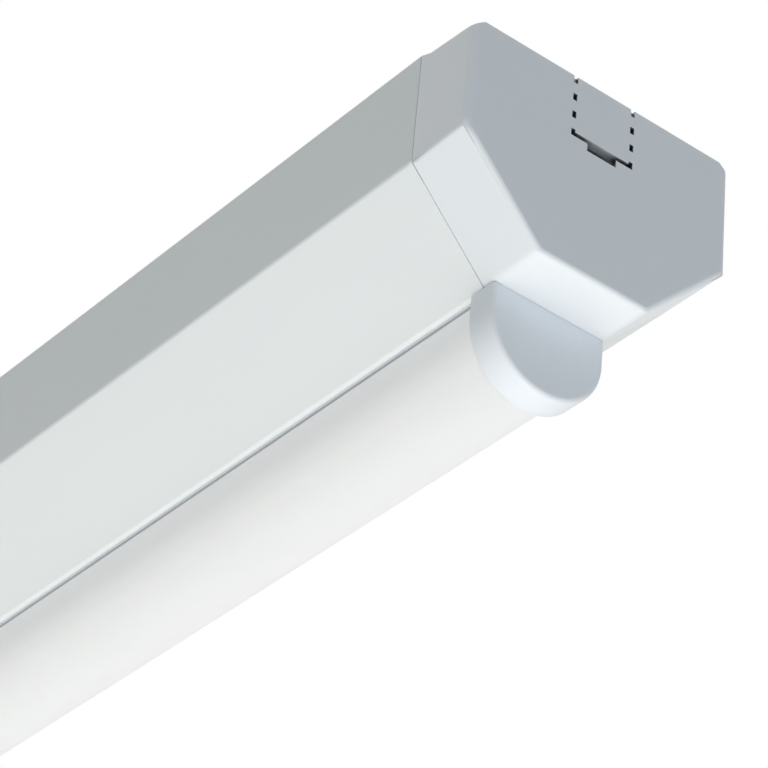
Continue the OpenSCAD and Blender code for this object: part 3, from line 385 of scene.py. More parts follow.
# One material for each material slot of the record; its two colours are the ends of its uneven tone
materials = {
    "powder_white": powderCoat("powderCoatedSteel", "#E9EFF0", "#E6ECEE"),
    # the end caps' plastic takes painted shade in its slits and recesses
    "end_cap_white": mouldedPlastic(
        "mouldedAbsCap", "#EAF0F4", "#E7EDF2",
        {"Roughness": 0.38, "IOR": 1.53, "Subsurface Weight": 0.08, "Subsurface Scale": 0.8 * mm,
         "Subsurface Radius": neutralDepth}, grain=(0.32, 0.005), slitShadeReach=5.0),
    # the opal trough carries painted shade, a painted shadow line and a painted glow
    "diffuser_opal": opalTrough(
        "extrudedOpalPolycarbonate", "#D6D9DA", "#FBFCFA", "#DADCDC", gapShadowColour="#7F8391",
        paintedGlowColour="#F3F6F8"),
    "diffuser_cap_white": mouldedPlastic(
        "mouldedPolycarbonateCap", "#E9F0F6", "#E6EDF4",
        {"Roughness": 0.36, "IOR": 1.58, "Subsurface Weight": 0.1, "Subsurface Scale": 1.0 * mm,
         "Subsurface Radius": neutralDepth}, grain=(0.28, 0.004)),
    "driver_white": mouldedPlastic(
        "mouldedPolycarbonateCase", "#E9EBEB", "#E3E6E6", {"Roughness": 0.52, "IOR": 1.58},
        grain=(0.45, 0.014)),
    "zinc_steel": zincPlate("zincPlatedSteel", "#C4CBD2", "#D6D3C8"),
    "spring_steel": linedMaterial(
        "rolledSpringSteel", "#B4B8BC", "#C2C4C5", {"Metallic": 1.0, "Roughness": 0.27},
        along="Z", spacing=0.18, depth=0.003),
    "mill_aluminium": linedMaterial(
        "extrudedAluminium", "#CFD2D4", "#DADCDD", {"Metallic": 1.0, "Roughness": 0.33},
        along="X", spacing=0.35, depth=0.006),
    "grommet_rubber": mouldedPlastic(
        "mouldedRubber", "#4A4C4E", "#56585A", {"Roughness": 0.72, "IOR": 1.52},
        grain=(0.6, 0.02), flow=9),
    "terminal_grey": mouldedPlastic(
        "mouldedGreyPolyamide", "#C9CCCE", "#C2C5C8", {"Roughness": 0.44, "IOR": 1.53},
        grain=(0.3, 0.008), flow=14),
    "lever_orange": mouldedPlastic(
        "mouldedOrangePolyamide", "#EE7A22", "#E66F1C",
        {"Roughness": 0.4, "IOR": 1.53, "Subsurface Weight": 0.1, "Subsurface Scale": 0.8 * mm},
        grain=(0.3, 0.006), flow=8),
    "clamp_white": mouldedPlastic(
        "mouldedWhitePolyamide", "#E9EBE8", "#E2E5E1", {"Roughness": 0.48, "IOR": 1.53},
        grain=(0.3, 0.009), flow=12),
    "contact_brass": linedMaterial(
        "stampedBrass", "#D8B368", "#C79F55", {"Metallic": 1.0, "Roughness": 0.29},
        along="Y", spacing=0.22, depth=0.003, cloudSize=4),
    "board_white": mouldedPlastic(
        "solderResistWhite", "#F2F3EF", "#EEF0EB", {"Roughness": 0.3, "IOR": 1.5},
        grain=(0.25, 0.003), flow=6),
    "connector_white": mouldedPlastic(
        "mouldedConnectorPolyamide", "#ECEBE3", "#E5E4DB", {"Roughness": 0.46, "IOR": 1.53},
        grain=(0.25, 0.006), flow=5),
    "led_phosphor": mouldedPlastic(
        "phosphorSilicone", "#EFD24A", "#E6C63E",
        {"Roughness": 0.22, "IOR": 1.41, "Subsurface Weight": 0.3, "Subsurface Scale": 0.5 * mm},
        grain=(0.08, 0.002), flow=1),
    "lead_pvc": mouldedPlastic(
        "extrudedPvcBrown", "#6B3F25", "#61371F", {"Roughness": 0.36, "IOR": 1.53},
        grain=(0.5, 0.008), flow=6),
}


# Lead insulation: extruded PVC, smooth with a faint waviness. The earth core's two colours run along it
# and change over blur, where the circle's cosine, held in its UV map, passes share
def leadPvc(name, colour, second=None, share=0.25, blur=0.04):
    material = mouldedPlastic(name, colour, colour, {"Roughness": 0.34, "IOR": 1.53},
                              grain=(0.5, 0.008), flow=6)
    if second:
        tree = material.node_tree
        shader = next(node for node in tree.nodes if node.type == "BSDF_PRINCIPLED")
        circle = addNode(tree, "UVMap", {"uv_map": "around"})
        cosine = addNode(tree, "SeparateXYZ", None, {"Vector": (circle, "UV")})
        side = addNode(tree, "MapRange", None,
                       {"Value": (cosine, "X"), "From Min": share - blur, "From Max": share + blur})
        stripe = addNode(tree, "Mix", colourMix,
                         {0: (side, "Result"), 6: hexToLinear(colour), 7: hexToLinear(second)})
        setInputs(tree, shader, {"Base Color": (stripe, 2)})
    return material


leadMaterials = {
    "brown": materials["lead_pvc"],
    "blue": leadPvc("extrudedPvcBlue", "#2F6DB5"),
    "earth": leadPvc("extrudedPvcGreenYellow", "#3C8F3A", "#E9CF2B"),
    "red": leadPvc("extrudedPvcRed", "#B92A26"),
    "black": leadPvc("extrudedPvcBlack", "#242527"),
}
slotOf = {part["node"]: part["material_slot"] for part in frame["record"]["subparts"]}
for nodeName, shape in nodes.items():
    shape.data.materials.clear()
    shape.data.materials.append(materials[slotOf[nodeName]])
print("materials:", len(materials))


# How meshes are cleaned: metres within which points merge or an edge is nothing, degrees within which
# faces are one flat face, and degrees past which an edge is sharp
cleaning = {"merge": 1e-7, "noEdge": 1e-8, "sharp": 32, "cadMerge": 1e-6, "cadFlat": 0.5}


# Opens a CAD mesh: its loose triangles are merged and its flat faces joined
def openCadMesh(mesh, merge=cleaning["cadMerge"], flat=cleaning["cadFlat"]):
    work = bmesh.new()
    work.from_mesh(mesh)
    bmesh.ops.remove_doubles(work, verts=work.verts, dist=merge)
    bmesh.ops.dissolve_limit(work, angle_limit=math.radians(flat), verts=work.verts, edges=work.edges)
    return work


# Writes the work back into its mesh, shaded smooth between sharp edges
def closeMesh(work, mesh, sharp=cleaning["sharp"]):
    work.to_mesh(mesh)
    work.free()
    mesh.shade_smooth()
    mesh.set_sharp_from_angle(angle=math.radians(sharp))


# Puts a mesh in a node's place: it rides the node's body, and the node is hidden
def placePiece(name, mesh, node):
    piece = bpy.data.objects.new(name, mesh)
    bpy.context.scene.collection.objects.link(piece)
    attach(piece, nodes[node]["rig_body"])
    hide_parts(node)
    return piece


# Piece from points in mm and a list of face arrays; doubles are merged and faces turned outwards. Each
# face takes the finish that faceFinish numbers, and around gives each point's place in the UV map
def makePiece(name, points, faces, node, finishes=None, faceFinish=None, around=None):
    mesh = bpy.data.meshes.new(name)
    faceList = [list(face) for group in faces for face in group]
    mesh.from_pydata((np.asarray(points) * mm).tolist(), [], faceList)
    for finish in finishes or [materials[slotOf[node]]]:
        mesh.materials.append(finish)
    if faceFinish is not None:
        mesh.polygons.foreach_set("material_index", np.asarray(faceFinish, dtype=np.int32))
    if around is not None:
        corners = np.empty(len(mesh.loops), dtype=np.int32)
        mesh.loops.foreach_get("vertex_index", corners)
        layer = mesh.uv_layers.new(name="around")
        layer.data.foreach_set("uv", np.asarray(around)[corners].ravel())
    work = bmesh.new()
    work.from_mesh(mesh)
    bmesh.ops.remove_doubles(work, verts=work.verts, dist=cleaning["merge"])
    bmesh.ops.dissolve_degenerate(work, edges=work.edges, dist=cleaning["noEdge"])
    bmesh.ops.recalc_face_normals(work, faces=work.faces)
    closeMesh(work, mesh)
    placePiece(name, mesh, node)


# Four-cornered faces of a grid of points listed row by row; a closed grid joins its last column to its first
def gridFaces(rows, columns, closed=False):
    row = np.arange(rows - 1)[:, None] * columns
    column = np.arange(columns if closed else columns - 1)[None, :]
    a = row + column
    b = row + (column + 1) % columns
    return np.stack((a, b, b + columns, a + columns), axis=-1).reshape(-1, 4)


# Faces that close the end of a thin wall, whose loop of points runs out along one side and back along the
# other, count points each
def wallEnd(count):
    step = np.arange(count - 1)
    return np.column_stack((step, step + 1, 2 * count - 2 - step, 2 * count - 1 - step))


# Faces of a box whose corners are listed by x, then y, then z, the low one first
boxFaces = np.array([(0, 1, 3, 2), (4, 6, 7, 5), (0, 4, 5, 1), (2, 3, 7, 6), (0, 2, 6, 4), (1, 5, 7, 3)])


# Unit directions from each point of a line to the next
def directions(points):
    along = np.diff(points, axis=0)
    return along / np.linalg.norm(along, axis=1)[:, None]


# Line with its corners rounded: each corner becomes an arc that starts radius * tan(turn / 2) before it
# and swings off the first direction by radius * (sin(angle), 1 - cos(angle))
def roundedLine(points, radii, steps=8):
    points = np.asarray(points, dtype=float)
    radii = np.asarray(radii, dtype=float)
    along = directions(points)
    before, after = along[:-1], along[1:]
    cross = before[:, 0] * after[:, 1] - before[:, 1] * after[:, 0]
    turn = np.arctan2(cross, (before * after).sum(axis=1))
    run = radii * np.tan(np.abs(turn) / 2)
    inward = np.column_stack((-before[:, 1], before[:, 0])) * np.sign(turn)[:, None]
    angle = np.linspace(0, 1, steps + 1)[None, :, None] * np.abs(turn)[:, None, None]
    start = points[1:-1] - before * run[:, None]
    reach = radii[:, None, None]
    aside = inward[:, None] * reach * (1 - np.cos(angle))
    arcs = start[:, None] + before[:, None] * reach * np.sin(angle) + aside
    return np.vstack((points[:1], arcs.reshape(-1, 2), points[-1:]))


# Line moved sideways to its left by gap: at each corner both moved sides meet at their mitre
def leftOf(points, gap):
    points = np.asarray(points, dtype=float)
    along = directions(points)
    normal = np.column_stack((-along[:, 1], along[:, 0]))
    first, second = normal[:-1], normal[1:]
    mitre = (first + second) / (1 + (first * second).sum(axis=1))[:, None]
    return points + gap * np.vstack((normal[:1], mitre, normal[-1:]))


# Bent sheet run along X: two rounded lines, a sheet's thickness apart, are carried from end to end, and
# near the two cut ends each line moves towards the other by soft * (1 - sin), which rounds the cut
def bentSheet(name, node, line, thickness, radii, ends, soft=0.12, steps=8):
    line = np.asarray(line, dtype=float)
    radii = np.asarray(radii, dtype=float)
    along = np.diff(line, axis=0)
    left = along[:-1, 0] * along[1:, 1] - along[:-1, 1] * along[1:, 0] > 0
    outer = roundedLine(line, np.where(left, radii + thickness, radii), steps)
    inner = roundedLine(leftOf(line, thickness), np.where(left, radii, radii + thickness), steps)
    count = len(outer)
    angle = np.linspace(0, math.pi / 2, 4)
    back, on = soft * (1 - np.sin(angle)), soft * (1 - np.cos(angle))
    places = np.concatenate((ends[0] + on, ends[1] - on[::-1]))
    share = (np.concatenate((back, back[::-1])) / thickness)[:, None, None]
    loop = np.concatenate((outer[None] * (1 - share) + inner[None] * share,
                           (inner[None] * (1 - share) + outer[None] * share)[:, ::-1]), axis=1)
    across = np.broadcast_to(places[:, None, None], (len(places), 2 * count, 1))
    points = np.concatenate((across, loop), axis=2).reshape(-1, 3)
    cut = wallEnd(count)
    last = (len(places) - 1) * 2 * count
    makePiece(name, points, [gridFaces(len(places), 2 * count, True), cut, cut + last], node)


# Gear cover: one steel sheet bent eight times, from the ceiling edge over side, chamfer, lip and channel
gearCover = {
    "halfWidth": 33.75, "sideHeight": 27.0, "bodyHeight": 47.4, "bottomHalf": 13.65, "slotHalf": 12.15,
    "webHeight": 40.5, "thickness": 0.6, "bends": [1.0, 0.5, 0.2, 0.2], "bendSteps": 10,
}


def makeGearCover():
    c = gearCover
    half = [(-c["halfWidth"], 0), (-c["halfWidth"], -c["sideHeight"]), (-c["bottomHalf"], -c["bodyHeight"]),
            (-c["slotHalf"], -c["bodyHeight"]), (-c["slotHalf"], -c["webHeight"])]
    line = half + [(-y, z) for y, z in half[::-1]]
    low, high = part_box("body_cover")
    bentSheet("bentGearCover", "body_cover", line, c["thickness"], c["bends"] + c["bends"][::-1],
              (low.x / mm, high.x / mm), steps=c["bendSteps"])


makeGearCover()

# Retaining clips: spring strip bent to two arms whose noses snap in behind the spine's lips
retainingClip = {
    "line": [(28.05, -6.4), (30.05, -10.8), (28.95, -14.8), (28.95, -23.2), (11.05, -39.9)],
    "thickness": 0.6, "bend": 0.6, "bendSteps": 6, "softCut": 0.05,
}


def makeRetainingClips():
    c = retainingClip
    line = [(-y, z) for y, z in c["line"]] + c["line"][::-1]
    for side in ("left", "right"):
        node = "retaining_clip_" + side
        low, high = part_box(node)
        bentSheet("springClip_" + side, node, line, c["thickness"], [c["bend"]] * (len(line) - 2),
                  (low.x / mm, high.x / mm), soft=c["softCut"], steps=c["bendSteps"])


makeRetainingClips()
print("bent sheets made")

# Diffuser: extruded opal trough whose two legs carry snap beads inside
diffuserProfile = {
    "radius": 11.9, "wall": 1.5, "roundHeight": -53.2, "cutHeight": -48.8,
    "halfLength": 285.1, "legHalfLength": 282.9, "edge": 0.25, "roundPoints": 73,
    "legLevel": -46.5, "troughLevels": [-50.5, -52.0],
    "beadLevels": [-43.6, -43.85, -43.9, -44.1, -44.4, -45.2], "beadReach": [0.25, 0.5, 0.5, 0.5, 0, 0],
}


# The wall is a U: two upright legs and a half circle, carried along X; where the legs are shorter
# than the trough, the same level is listed twice with the two lengths
def makeDiffuser():
    d = diffuserProfile
    legs = d["beadLevels"] + [d["legLevel"], d["cutHeight"]]
    trough = [d["cutHeight"]] + d["troughLevels"]
    levels = np.array(legs + trough)
    lengths = np.repeat((d["legHalfLength"], d["halfLength"]), (len(legs), len(trough)))
    bead = np.zeros(len(levels))
    bead[:len(d["beadReach"])] = d["beadReach"]
    soften = np.zeros(len(levels))
    soften[0] = d["edge"]
    angle = np.linspace(math.pi, 2 * math.pi, d["roundPoints"])
    inside = d["radius"] - d["wall"]
    outerHalf = np.column_stack((-(d["radius"] - soften), levels))
    innerHalf = np.column_stack((-(inside - bead), levels))
    arc = np.column_stack((np.cos(angle), np.sin(angle)))
    flip = np.array([-1, 1])
    outer = np.vstack((outerHalf, arc * d["radius"] + (0, d["roundHeight"]), outerHalf[::-1] * flip))
    inner = np.vstack((innerHalf, arc * inside + (0, d["roundHeight"]), innerHalf[::-1] * flip))
    reach = np.concatenate((lengths, np.full(len(angle), d["halfLength"]), lengths[::-1]))
    count = len(outer)
    loop = np.vstack((outer, inner[::-1]))
    loopReach = np.concatenate((reach, reach[::-1]))
    points = np.vstack([np.column_stack((side * loopReach, loop)) for side in (-1, 1)])
    cut = wallEnd(count)
    makePiece("opalDiffuser", points, [gridFaces(2, 2 * count, True), cut, cut + 2 * count], "diffuser")


makeDiffuser()

# Diffuser caps: moulded trough ends, open behind, with a rounded edge round the face
diffuserCap = {
    "radius": 14.2, "insideRadius": 12.0, "edge": 1.1, "top": -47.5, "roof": 1.2, "roundHeight": -53.2,
    "rear": 280.0, "front": 287.0, "endWall": 1.8, "roofFrom": 283.0, "roofLap": 0.3, "roofSink": 0.002,
    "rim": 0.2, "rimRun": 2, "roundPoints": 65, "legPoints": 7,
}


# The U outline is scaled by its distance inwards while the profile runs: face, rounded edge, outside,
# rear rim, inside and end wall; the flats of both end faces join the left of the U to its right
def makeDiffuserCap(side):
    d = diffuserCap
    sign = 1 if side == "right" else -1
    innerFace = d["front"] - d["endWall"]
    bend = np.linspace(0, math.pi / 2, 9)
    rimBend = bend[::4]
    offsets = np.concatenate((d["edge"] * (1 - np.sin(bend)), [0],
                              d["rim"] * (1 - np.cos(rimBend)), [d["radius"] - d["insideRadius"]] * 2))
    places = np.concatenate((d["front"] - d["edge"] * (1 - np.cos(bend)), [d["rear"] + d["rimRun"]],
                             d["rear"] + d["rim"] * (1 - np.sin(rimBend)), [d["rear"], innerFace]))
    angle = np.linspace(math.pi, 2 * math.pi, d["roundPoints"])
    legs = d["legPoints"]
    levels = np.linspace(d["top"], d["roundHeight"], legs + 1)[:-1]
    unitY = np.concatenate((np.full(legs, -1.0), np.cos(angle), np.full(legs, 1.0)))
    sink = np.concatenate((np.zeros(legs), np.sin(angle), np.zeros(legs)))
    base = np.concatenate((levels, np.full(len(angle), d["roundHeight"]), levels[::-1]))
    reach = (d["radius"] - offsets)[:, None]
    rows, columns = len(offsets), len(unitY)
    points = np.stack((np.broadcast_to(sign * places[:, None], (rows, columns)),
                       unitY * reach, base + sink * reach), axis=-1).reshape(-1, 3)
    step = np.arange(columns // 2)
    flat = np.column_stack((step, step + 1, columns - 2 - step, columns - 1 - step))
    row = np.arange(rows) * columns
    topRim = np.concatenate((row, (row + columns - 1)[::-1]))
    faces = [gridFaces(rows, columns), flat, flat + (rows - 1) * columns, [topRim]]
    halfY = d["insideRadius"] + d["roofLap"]
    roof = np.array([(x, y, z) for x in (d["roofFrom"], innerFace + d["roofLap"]) for y in (-halfY, halfY)
                     for z in (d["top"] - d["roof"], d["top"] - d["roofSink"])])
    roof[:, 0] *= sign
    makePiece("diffuserEnd_" + side, np.vstack((points, roof)), faces + [boxFaces + len(points)],
              "diffuser_cap_" + side)


makeDiffuserCap("left")
makeDiffuserCap("right")
print("diffuser and its caps made")


# Turned form: a profile of radius and height is carried round an upright axis; relief, a function
# of the two plan coordinates, is taken off the height of the profile's first rings
def turnedForm(profile, centre, up=1, steps=48, relief=None, reliefRings=0, closed=False):
    profile = np.asarray(profile, dtype=float)
    angle = np.linspace(0, 2 * math.pi, steps, endpoint=False)
    x = profile[:, 0, None] * np.cos(angle)
    y = profile[:, 0, None] * np.sin(angle)
    z = np.repeat(profile[:, 1, None], steps, axis=1)
    if relief is not None:
        z[:reliefRings] -= relief(x[:reliefRings], y[:reliefRings])
    points = np.stack((x + centre[0], y + centre[1], up * z + centre[2]), axis=-1).reshape(-1, 3)
    faces = gridFaces(len(profile), steps, True)
    if closed:
        last = (len(profile) - 1) * steps + np.arange(steps)
        first = np.arange(steps)
        faces = np.vstack((faces, np.column_stack((last, np.roll(last, -1), np.roll(first, -1), first))))
    return points, faces


# Joins forms, each a pair of points and faces, into one
def joinForms(forms):
    starts = np.cumsum([0] + [len(points) for points, _ in forms[:-1]])
    return np.vstack([points for points, _ in forms]), [faces + s for (_, faces), s in zip(forms, starts)]


# Screws: seat and tip are heights, up says which way the head looks; the rest are radii and the head's height
boardScrewPlaces = [1 + 264.9 * share for share in (0.04, 0.5, 0.95)]
screws = {
    "cable_clamp_screws": {"at": [(38, -11.8), (38, 11.8)], "seat": -3.8, "tip": -0.1, "up": -1,
                           "shank": 1.5, "head": 2.9, "height": 2.0},
    "earth_screw": {"at": [(63, 22.5)], "seat": -1.6, "tip": -0.1, "up": -1,
                    "shank": 2.0, "head": 3.8, "height": 2.6},
    "driver_screws": {"at": [(-210, 0), (-52, 0)], "seat": -37.5, "tip": -40.6, "up": 1,
                      "shank": 1.5, "head": 2.9, "height": 2.0},
    "board_screws": {"at": [(sign * place, 0) for sign in (-1, 1) for place in boardScrewPlaces],
                     "seat": -42.7, "tip": -40.0, "up": -1, "shank": 1.5, "head": 2.2, "height": 1.4},
}
# Shares of the head's radius or height, and the thread's sizes in mm
screwDetail = {
    "recessWidth": 0.26, "recessReach": 0.62, "recessDepth": 0.55, "sideSlope": 0.1, "endSlope": 0.35,
    "crown": 0.93, "crownFall": 0.42, "rimFoot": 0.55, "rimRise": 0.45,
    "threadPitch": 0.7, "threadDepth": 0.16, "threadFrom": 0.25, "threadEnd": 0.3, "tipTaper": 0.25,
}


# Pan head screw: the head's dome falls as the square of the radius and turns down in a rounded rim, a cross
# is sunk into it with sides that slope to its ends, and the shank's radius swings with height in a thread
def makeScrews(node):
    s, d = screws[node], screwDetail
    head, height = s["head"], s["height"]
    length = abs(s["tip"] - s["seat"])

    def cross(x, y):
        def arm(a, b):
            sideFall = np.clip((d["recessWidth"] * head - np.abs(b)) / (d["sideSlope"] * head) + 0.5, 0, 1)
            endFall = np.clip((d["recessReach"] * head - np.abs(a)) / (d["endSlope"] * head), 0, 1)
            return sideFall * endFall
        return d["recessDepth"] * height * np.maximum(arm(x, y), arm(y, x))

    ring = np.linspace(0, d["crown"], 26)
    bend = np.linspace(0, math.pi / 2, 5)[1:]
    crown = height - d["crownFall"] * height * ring ** 2
    rim = np.column_stack((head * (d["crown"] + (1 - d["crown"]) * np.sin(bend)),
                           crown[-1] * (d["rimFoot"] + d["rimRise"] * np.cos(bend))))
    turnsDown = np.arange(d["threadFrom"], length - d["threadEnd"], d["threadPitch"] / 2)
    ridge = np.where(np.arange(len(turnsDown)) % 2 == 0, 0, d["threadDepth"])
    shank = np.column_stack((s["shank"] - ridge, -turnsDown))
    profile = np.vstack((np.column_stack((ring * head, crown)), rim,
                         [(head, 0.02), (head - 0.05, 0), (s["shank"], 0)], shank,
                         [(s["shank"] - d["tipTaper"], -length), (0, -length)]))
    forms = [turnedForm(profile, (x, y, s["seat"]), s["up"], 64, cross, len(ring)) for x, y in s["at"]]
    points, faces = joinForms(forms)
    makePiece("detailed_" + node, points, faces, node)


for screwNode in screws:
    makeScrews(screwNode)

# Pop rivets: a low dome with an upright lip on each side of clip and web
rivets = {
    "at": [-243.4, -235.4, 235.4, 243.4], "shank": 1.2, "head": 2.3, "height": 0.9, "lip": 0.15,
    "low": -40.5, "high": -39.3,
}


def makeRivets():
    r = rivets
    bend = np.linspace(0, math.pi / 2, 9)
    dome = np.column_stack((np.sin(bend) * r["head"], r["lip"] + (r["height"] - r["lip"]) * np.cos(bend)))
    dome = np.vstack((dome, [(r["head"], 0), (r["shank"], 0)]))
    above = dome + (0, r["high"])
    below = (dome * (1, -1) + (0, r["low"]))[::-1]
    points, faces = joinForms([turnedForm(np.vstack((above, below)), (x, 0, 0)) for x in r["at"]])
    makePiece("domedRivets", points, faces, "clip_rivets")


makeRivets()

# Rubber bushes: at is the hole's axis, and the corners of the section are given as radius and height
bushes = {
    "cable_bush": {
        "at": (0, 0, 0), "corners": [(5.0, -0.1), (9.9, -0.1), (9.9, -0.8), (12.5, -0.8), (12.5, -2.6),
                                     (8.0, -2.6), (6.4, -9.0), (5.0, -9.0)],
        "rounding": [0.2, 0.2, 0.1, 0.6, 0.6, 0.7, 0.6, 0.5]},
    "lead_bush": {
        "at": (-272, 0, 0), "corners": [(3.2, -38.9), (5.4, -38.9), (5.4, -39.9), (3.9, -39.9), (3.9, -40.5),
                                        (5.4, -40.5), (5.4, -41.5), (3.2, -41.5)],
        "rounding": [0.4, 0.4, 0.2, 0.1, 0.1, 0.2, 0.4, 0.4]},
}


# The section, a closed line with rounded corners, is carried round the hole's axis
def makeBush(node):
    b = bushes[node]
    corners = np.array(b["corners"])
    closedLine = np.vstack((corners[-1:], corners, corners[:1]))
    profile = roundedLine(closedLine, b["rounding"], 5)[1:-1]
    points, faces = turnedForm(profile, b["at"], steps=64, closed=True)
    makePiece("rounded_" + node, points, [faces], node)


for bushNode in bushes:
    makeBush(bushNode)
print("screws, rivets and bushes made")

# LED packages: white moulded frames with a dome of phosphor in each, in one row on each board; the first
# four steps of the outline make the frame, the rest the dome
ledPackages = {
    "first": 13.0, "pitch": 9.6, "count": 26, "clearOfScrews": 4.05, "half": (1.75, 1.4), "corner": 0.3,
    "seat": -42.7, "frameSteps": 4, "inwards": [0, 0, 0.07, 0.4, 0.5, 0.85, 1.2],
    "heights": [0, 0.63, 0.7, 0.7, 0.54, 0.62, 0.66],
}


# A rounded rectangle's outline moves inwards ring by ring while it rises: the corners' middles move in
# until their radius is used up, and each point is its corner's middle plus radius * (cos, sin)
def makeLedPackages(side):
    p = ledPackages
    sign = 1 if side == "right" else -1
    places = p["first"] + p["pitch"] * np.arange(p["count"])
    toScrew = np.abs(places[:, None] - boardScrewPlaces).min(axis=1)
    places = sign * places[toScrew > p["clearOfScrews"]]
    corner = np.repeat([(1, 1), (-1, 1), (-1, -1), (1, -1)], 3, axis=0)
    turn = np.radians(np.tile([0, 45, 90], 4) + np.repeat([0, 90, 180, 270], 3))
    inwards = np.array(p["inwards"])[:, None, None]
    middle = corner * (np.array(p["half"]) - np.maximum(p["corner"], inwards))
    rim = np.maximum(p["corner"] - inwards, 0) * np.column_stack((np.cos(turn), np.sin(turn)))
    flat = middle + rim
    height = np.broadcast_to(p["seat"] - np.array(p["heights"])[:, None, None], (*flat.shape[:2], 1))
    one = np.concatenate((flat, height), axis=2).reshape(-1, 3)
    rows, columns = flat.shape[:2]
    points = (one[None] + np.column_stack((places, 0 * places, 0 * places))[:, None]).reshape(-1, 3)
    starts = np.arange(len(places)) * len(one)
    walls = (gridFaces(rows, columns, True)[None] + starts[:, None, None]).reshape(-1, 4)
    foot = np.arange(columns) + starts[:, None]
    ends = np.concatenate([foot + (rows - 1) * columns, foot])
    steps = np.array((p["frameSteps"], rows - 1 - p["frameSteps"]))
    finish = np.concatenate((np.tile(np.repeat([0, 1], steps * columns), len(places)),
                             np.ones(len(places)), np.zeros(len(places))))
    node = "led_packages_" + side
    makePiece("ledRow_" + side, points, [walls, ends], node,
              [materials["connector_white"], materials["led_phosphor"]], finish)


makeLedPackages("left")
makeLedPackages("right")

# Leads: PVC cores in their plain colours; path lists x and height, bend is the centre line's radius
leads = {
    "supply_leads": {"paths": [[(70, -8.3), (104, -8.3)]] * 3, "across": [-10, 0, 10],
                     "radius": 1.3, "bend": 0, "colours": ["brown", "blue", "earth"]},
    "driver_leads": {"paths": [[(-60, -32.9), (104, -32.9)]] * 2, "across": [-4, 4],
                     "radius": 1.3, "bend": 0, "colours": ["brown", "blue"]},
    "led_leads": {"paths": [[(-202, -30.9), (-272, -30.9), (-272, -44.3), (-261.9, -44.3)]] * 2,
                  "across": [-2, 2], "radius": 0.75, "bend": 2, "colours": ["red", "black"]},
    "cover_earth_lead": {"paths": [[(120, -32.9), (131.6, -32.9), (131.6, -37.2), (140.1, -37.2)]],
                         "across": [0], "radius": 1.3, "bend": 1.6, "colours": ["earth"]},
}
# Ring terminal of the earth lead: sections of ring and crimped sleeve as radius and height, and its tongue
ringTerminal = {
    "ring": [(2.05, 0.1), (2.15, 0), (3.7, 0), (3.8, 0.1), (3.8, 0.7), (3.7, 0.8), (2.15, 0.8), (2.05, 0.7)],
    "ringAt": (144, 0, -39.3), "sleeveAt": (134.6, 0, -37.2),
    "sleeve": [(1.3, 0), (1.42, -0.08), (1.66, 0.0), (1.72, 0.12), (1.72, 2.3), (1.62, 2.55), (1.72, 2.8),
               (1.72, 4.7), (1.66, 4.82), (1.42, 4.9), (1.3, 4.8)],
    "tongue": {"x": (134.4, 141.6), "y": (-1.3, 1.3), "z": (-39.3, -38.5), "waist": 0.9},
}


# Tube: a circle is carried along a line with rounded corners, each ring square to the mean of the two
# directions that meet at its point; its UV holds the circle's own cosine and sine
def tube(path, across, radius, bend, steps=20):
    line = roundedLine(path, [bend] * (len(path) - 2), 10)
    along = directions(line)
    mean = np.vstack((along[:1], along[:-1] + along[1:], along[-1:]))
    mean /= np.linalg.norm(mean, axis=1)[:, None]
    angle = np.linspace(0, 2 * math.pi, steps, endpoint=False)
    x = line[:, :1] - mean[:, 1:] * radius * np.cos(angle)
    z = line[:, 1:] + mean[:, :1] * radius * np.cos(angle)
    y = np.broadcast_to(across + radius * np.sin(angle), x.shape)
    points = np.stack((x, y, z), axis=-1).reshape(-1, 3)
    circle = np.tile(np.column_stack((np.cos(angle), np.sin(angle))), (len(line), 1))
    end = np.arange(steps)
    return points, [gridFaces(len(line), steps, True), [end], [end + (len(line) - 1) * steps]], circle


# The forms of the earth lead's ring terminal; the sleeve is turned upright, then laid along the lead
def makeRingTerminal():
    r, t = ringTerminal, ringTerminal["tongue"]
    ring = turnedForm(r["ring"], r["ringAt"], closed=True)
    sleeve, sleeveFaces = turnedForm(r["sleeve"], (0, 0, 0), steps=24, closed=True)
    sleeve = sleeve[:, [2, 1, 0]] * (1, 1, -1) + r["sleeveAt"]
    tongue = np.array([(x, y, z) for x in t["x"] for y in t["y"] for z in t["z"]])
    tongue[:4, 1] *= t["waist"]
    return ring, (sleeve, sleeveFaces), (tongue, boxFaces)


# Each lead takes its colour's material, and the earth lead gets its ring terminal of zinc plated metal
def makeLeads(node):
    item = leads[node]
    points, faces, finish, circle, names = [], [], [], [], []
    start = 0
    for path, across, colour in zip(item["paths"], item["across"], item["colours"]):
        p, f, c = tube(path, across, item["radius"], item["bend"])
        if colour not in names:
            names.append(colour)
        faces += [[np.asarray(face) + start for face in group] for group in f]
        finish += [names.index(colour)] * sum(len(group) for group in f)
        points.append(p)
        circle.append(c)
        start += len(p)
    finishes = [leadMaterials[name] for name in names]
    if node == "cover_earth_lead":
        for p, f in makeRingTerminal():
            faces.append(f + start)
            finish += [1] * len(f)
            points.append(p)
            circle.append(np.zeros((len(p), 2)))
            start += len(p)
        finishes.append(materials["zinc_steel"])
    makePiece("round_" + node, np.vstack(points), faces, node, finishes, finish, around=np.vstack(circle))


for leadNode in leads:
    makeLeads(leadNode)
print("LED packages and leads made")

# End caps: the CAD shape with its side bend drawn nearly as tight as the gear cover's, so that they meet
endCap = {
    "bend": 4.0, "tight": 1.6, "face": 300.0, "sideEdge": 1.8, "chamferEdge": 1.2,
    "near": 0.02, "nearAngle": 0.005, "nearEdge": 0.05, "merge": 4e-6, "flat": 0.4, "sharp": 27,
    "heightCuts": [-2.9, -24.9, -28.9, -46.1], "widthCuts": [-12.3, 12.3],
    "slitSide": 7.5, "shadeFilmSize": (0.3, 1.04, 1.6), "shadeFilmDepth": 0.75, "shadeFilmDrop": 0.92,
}


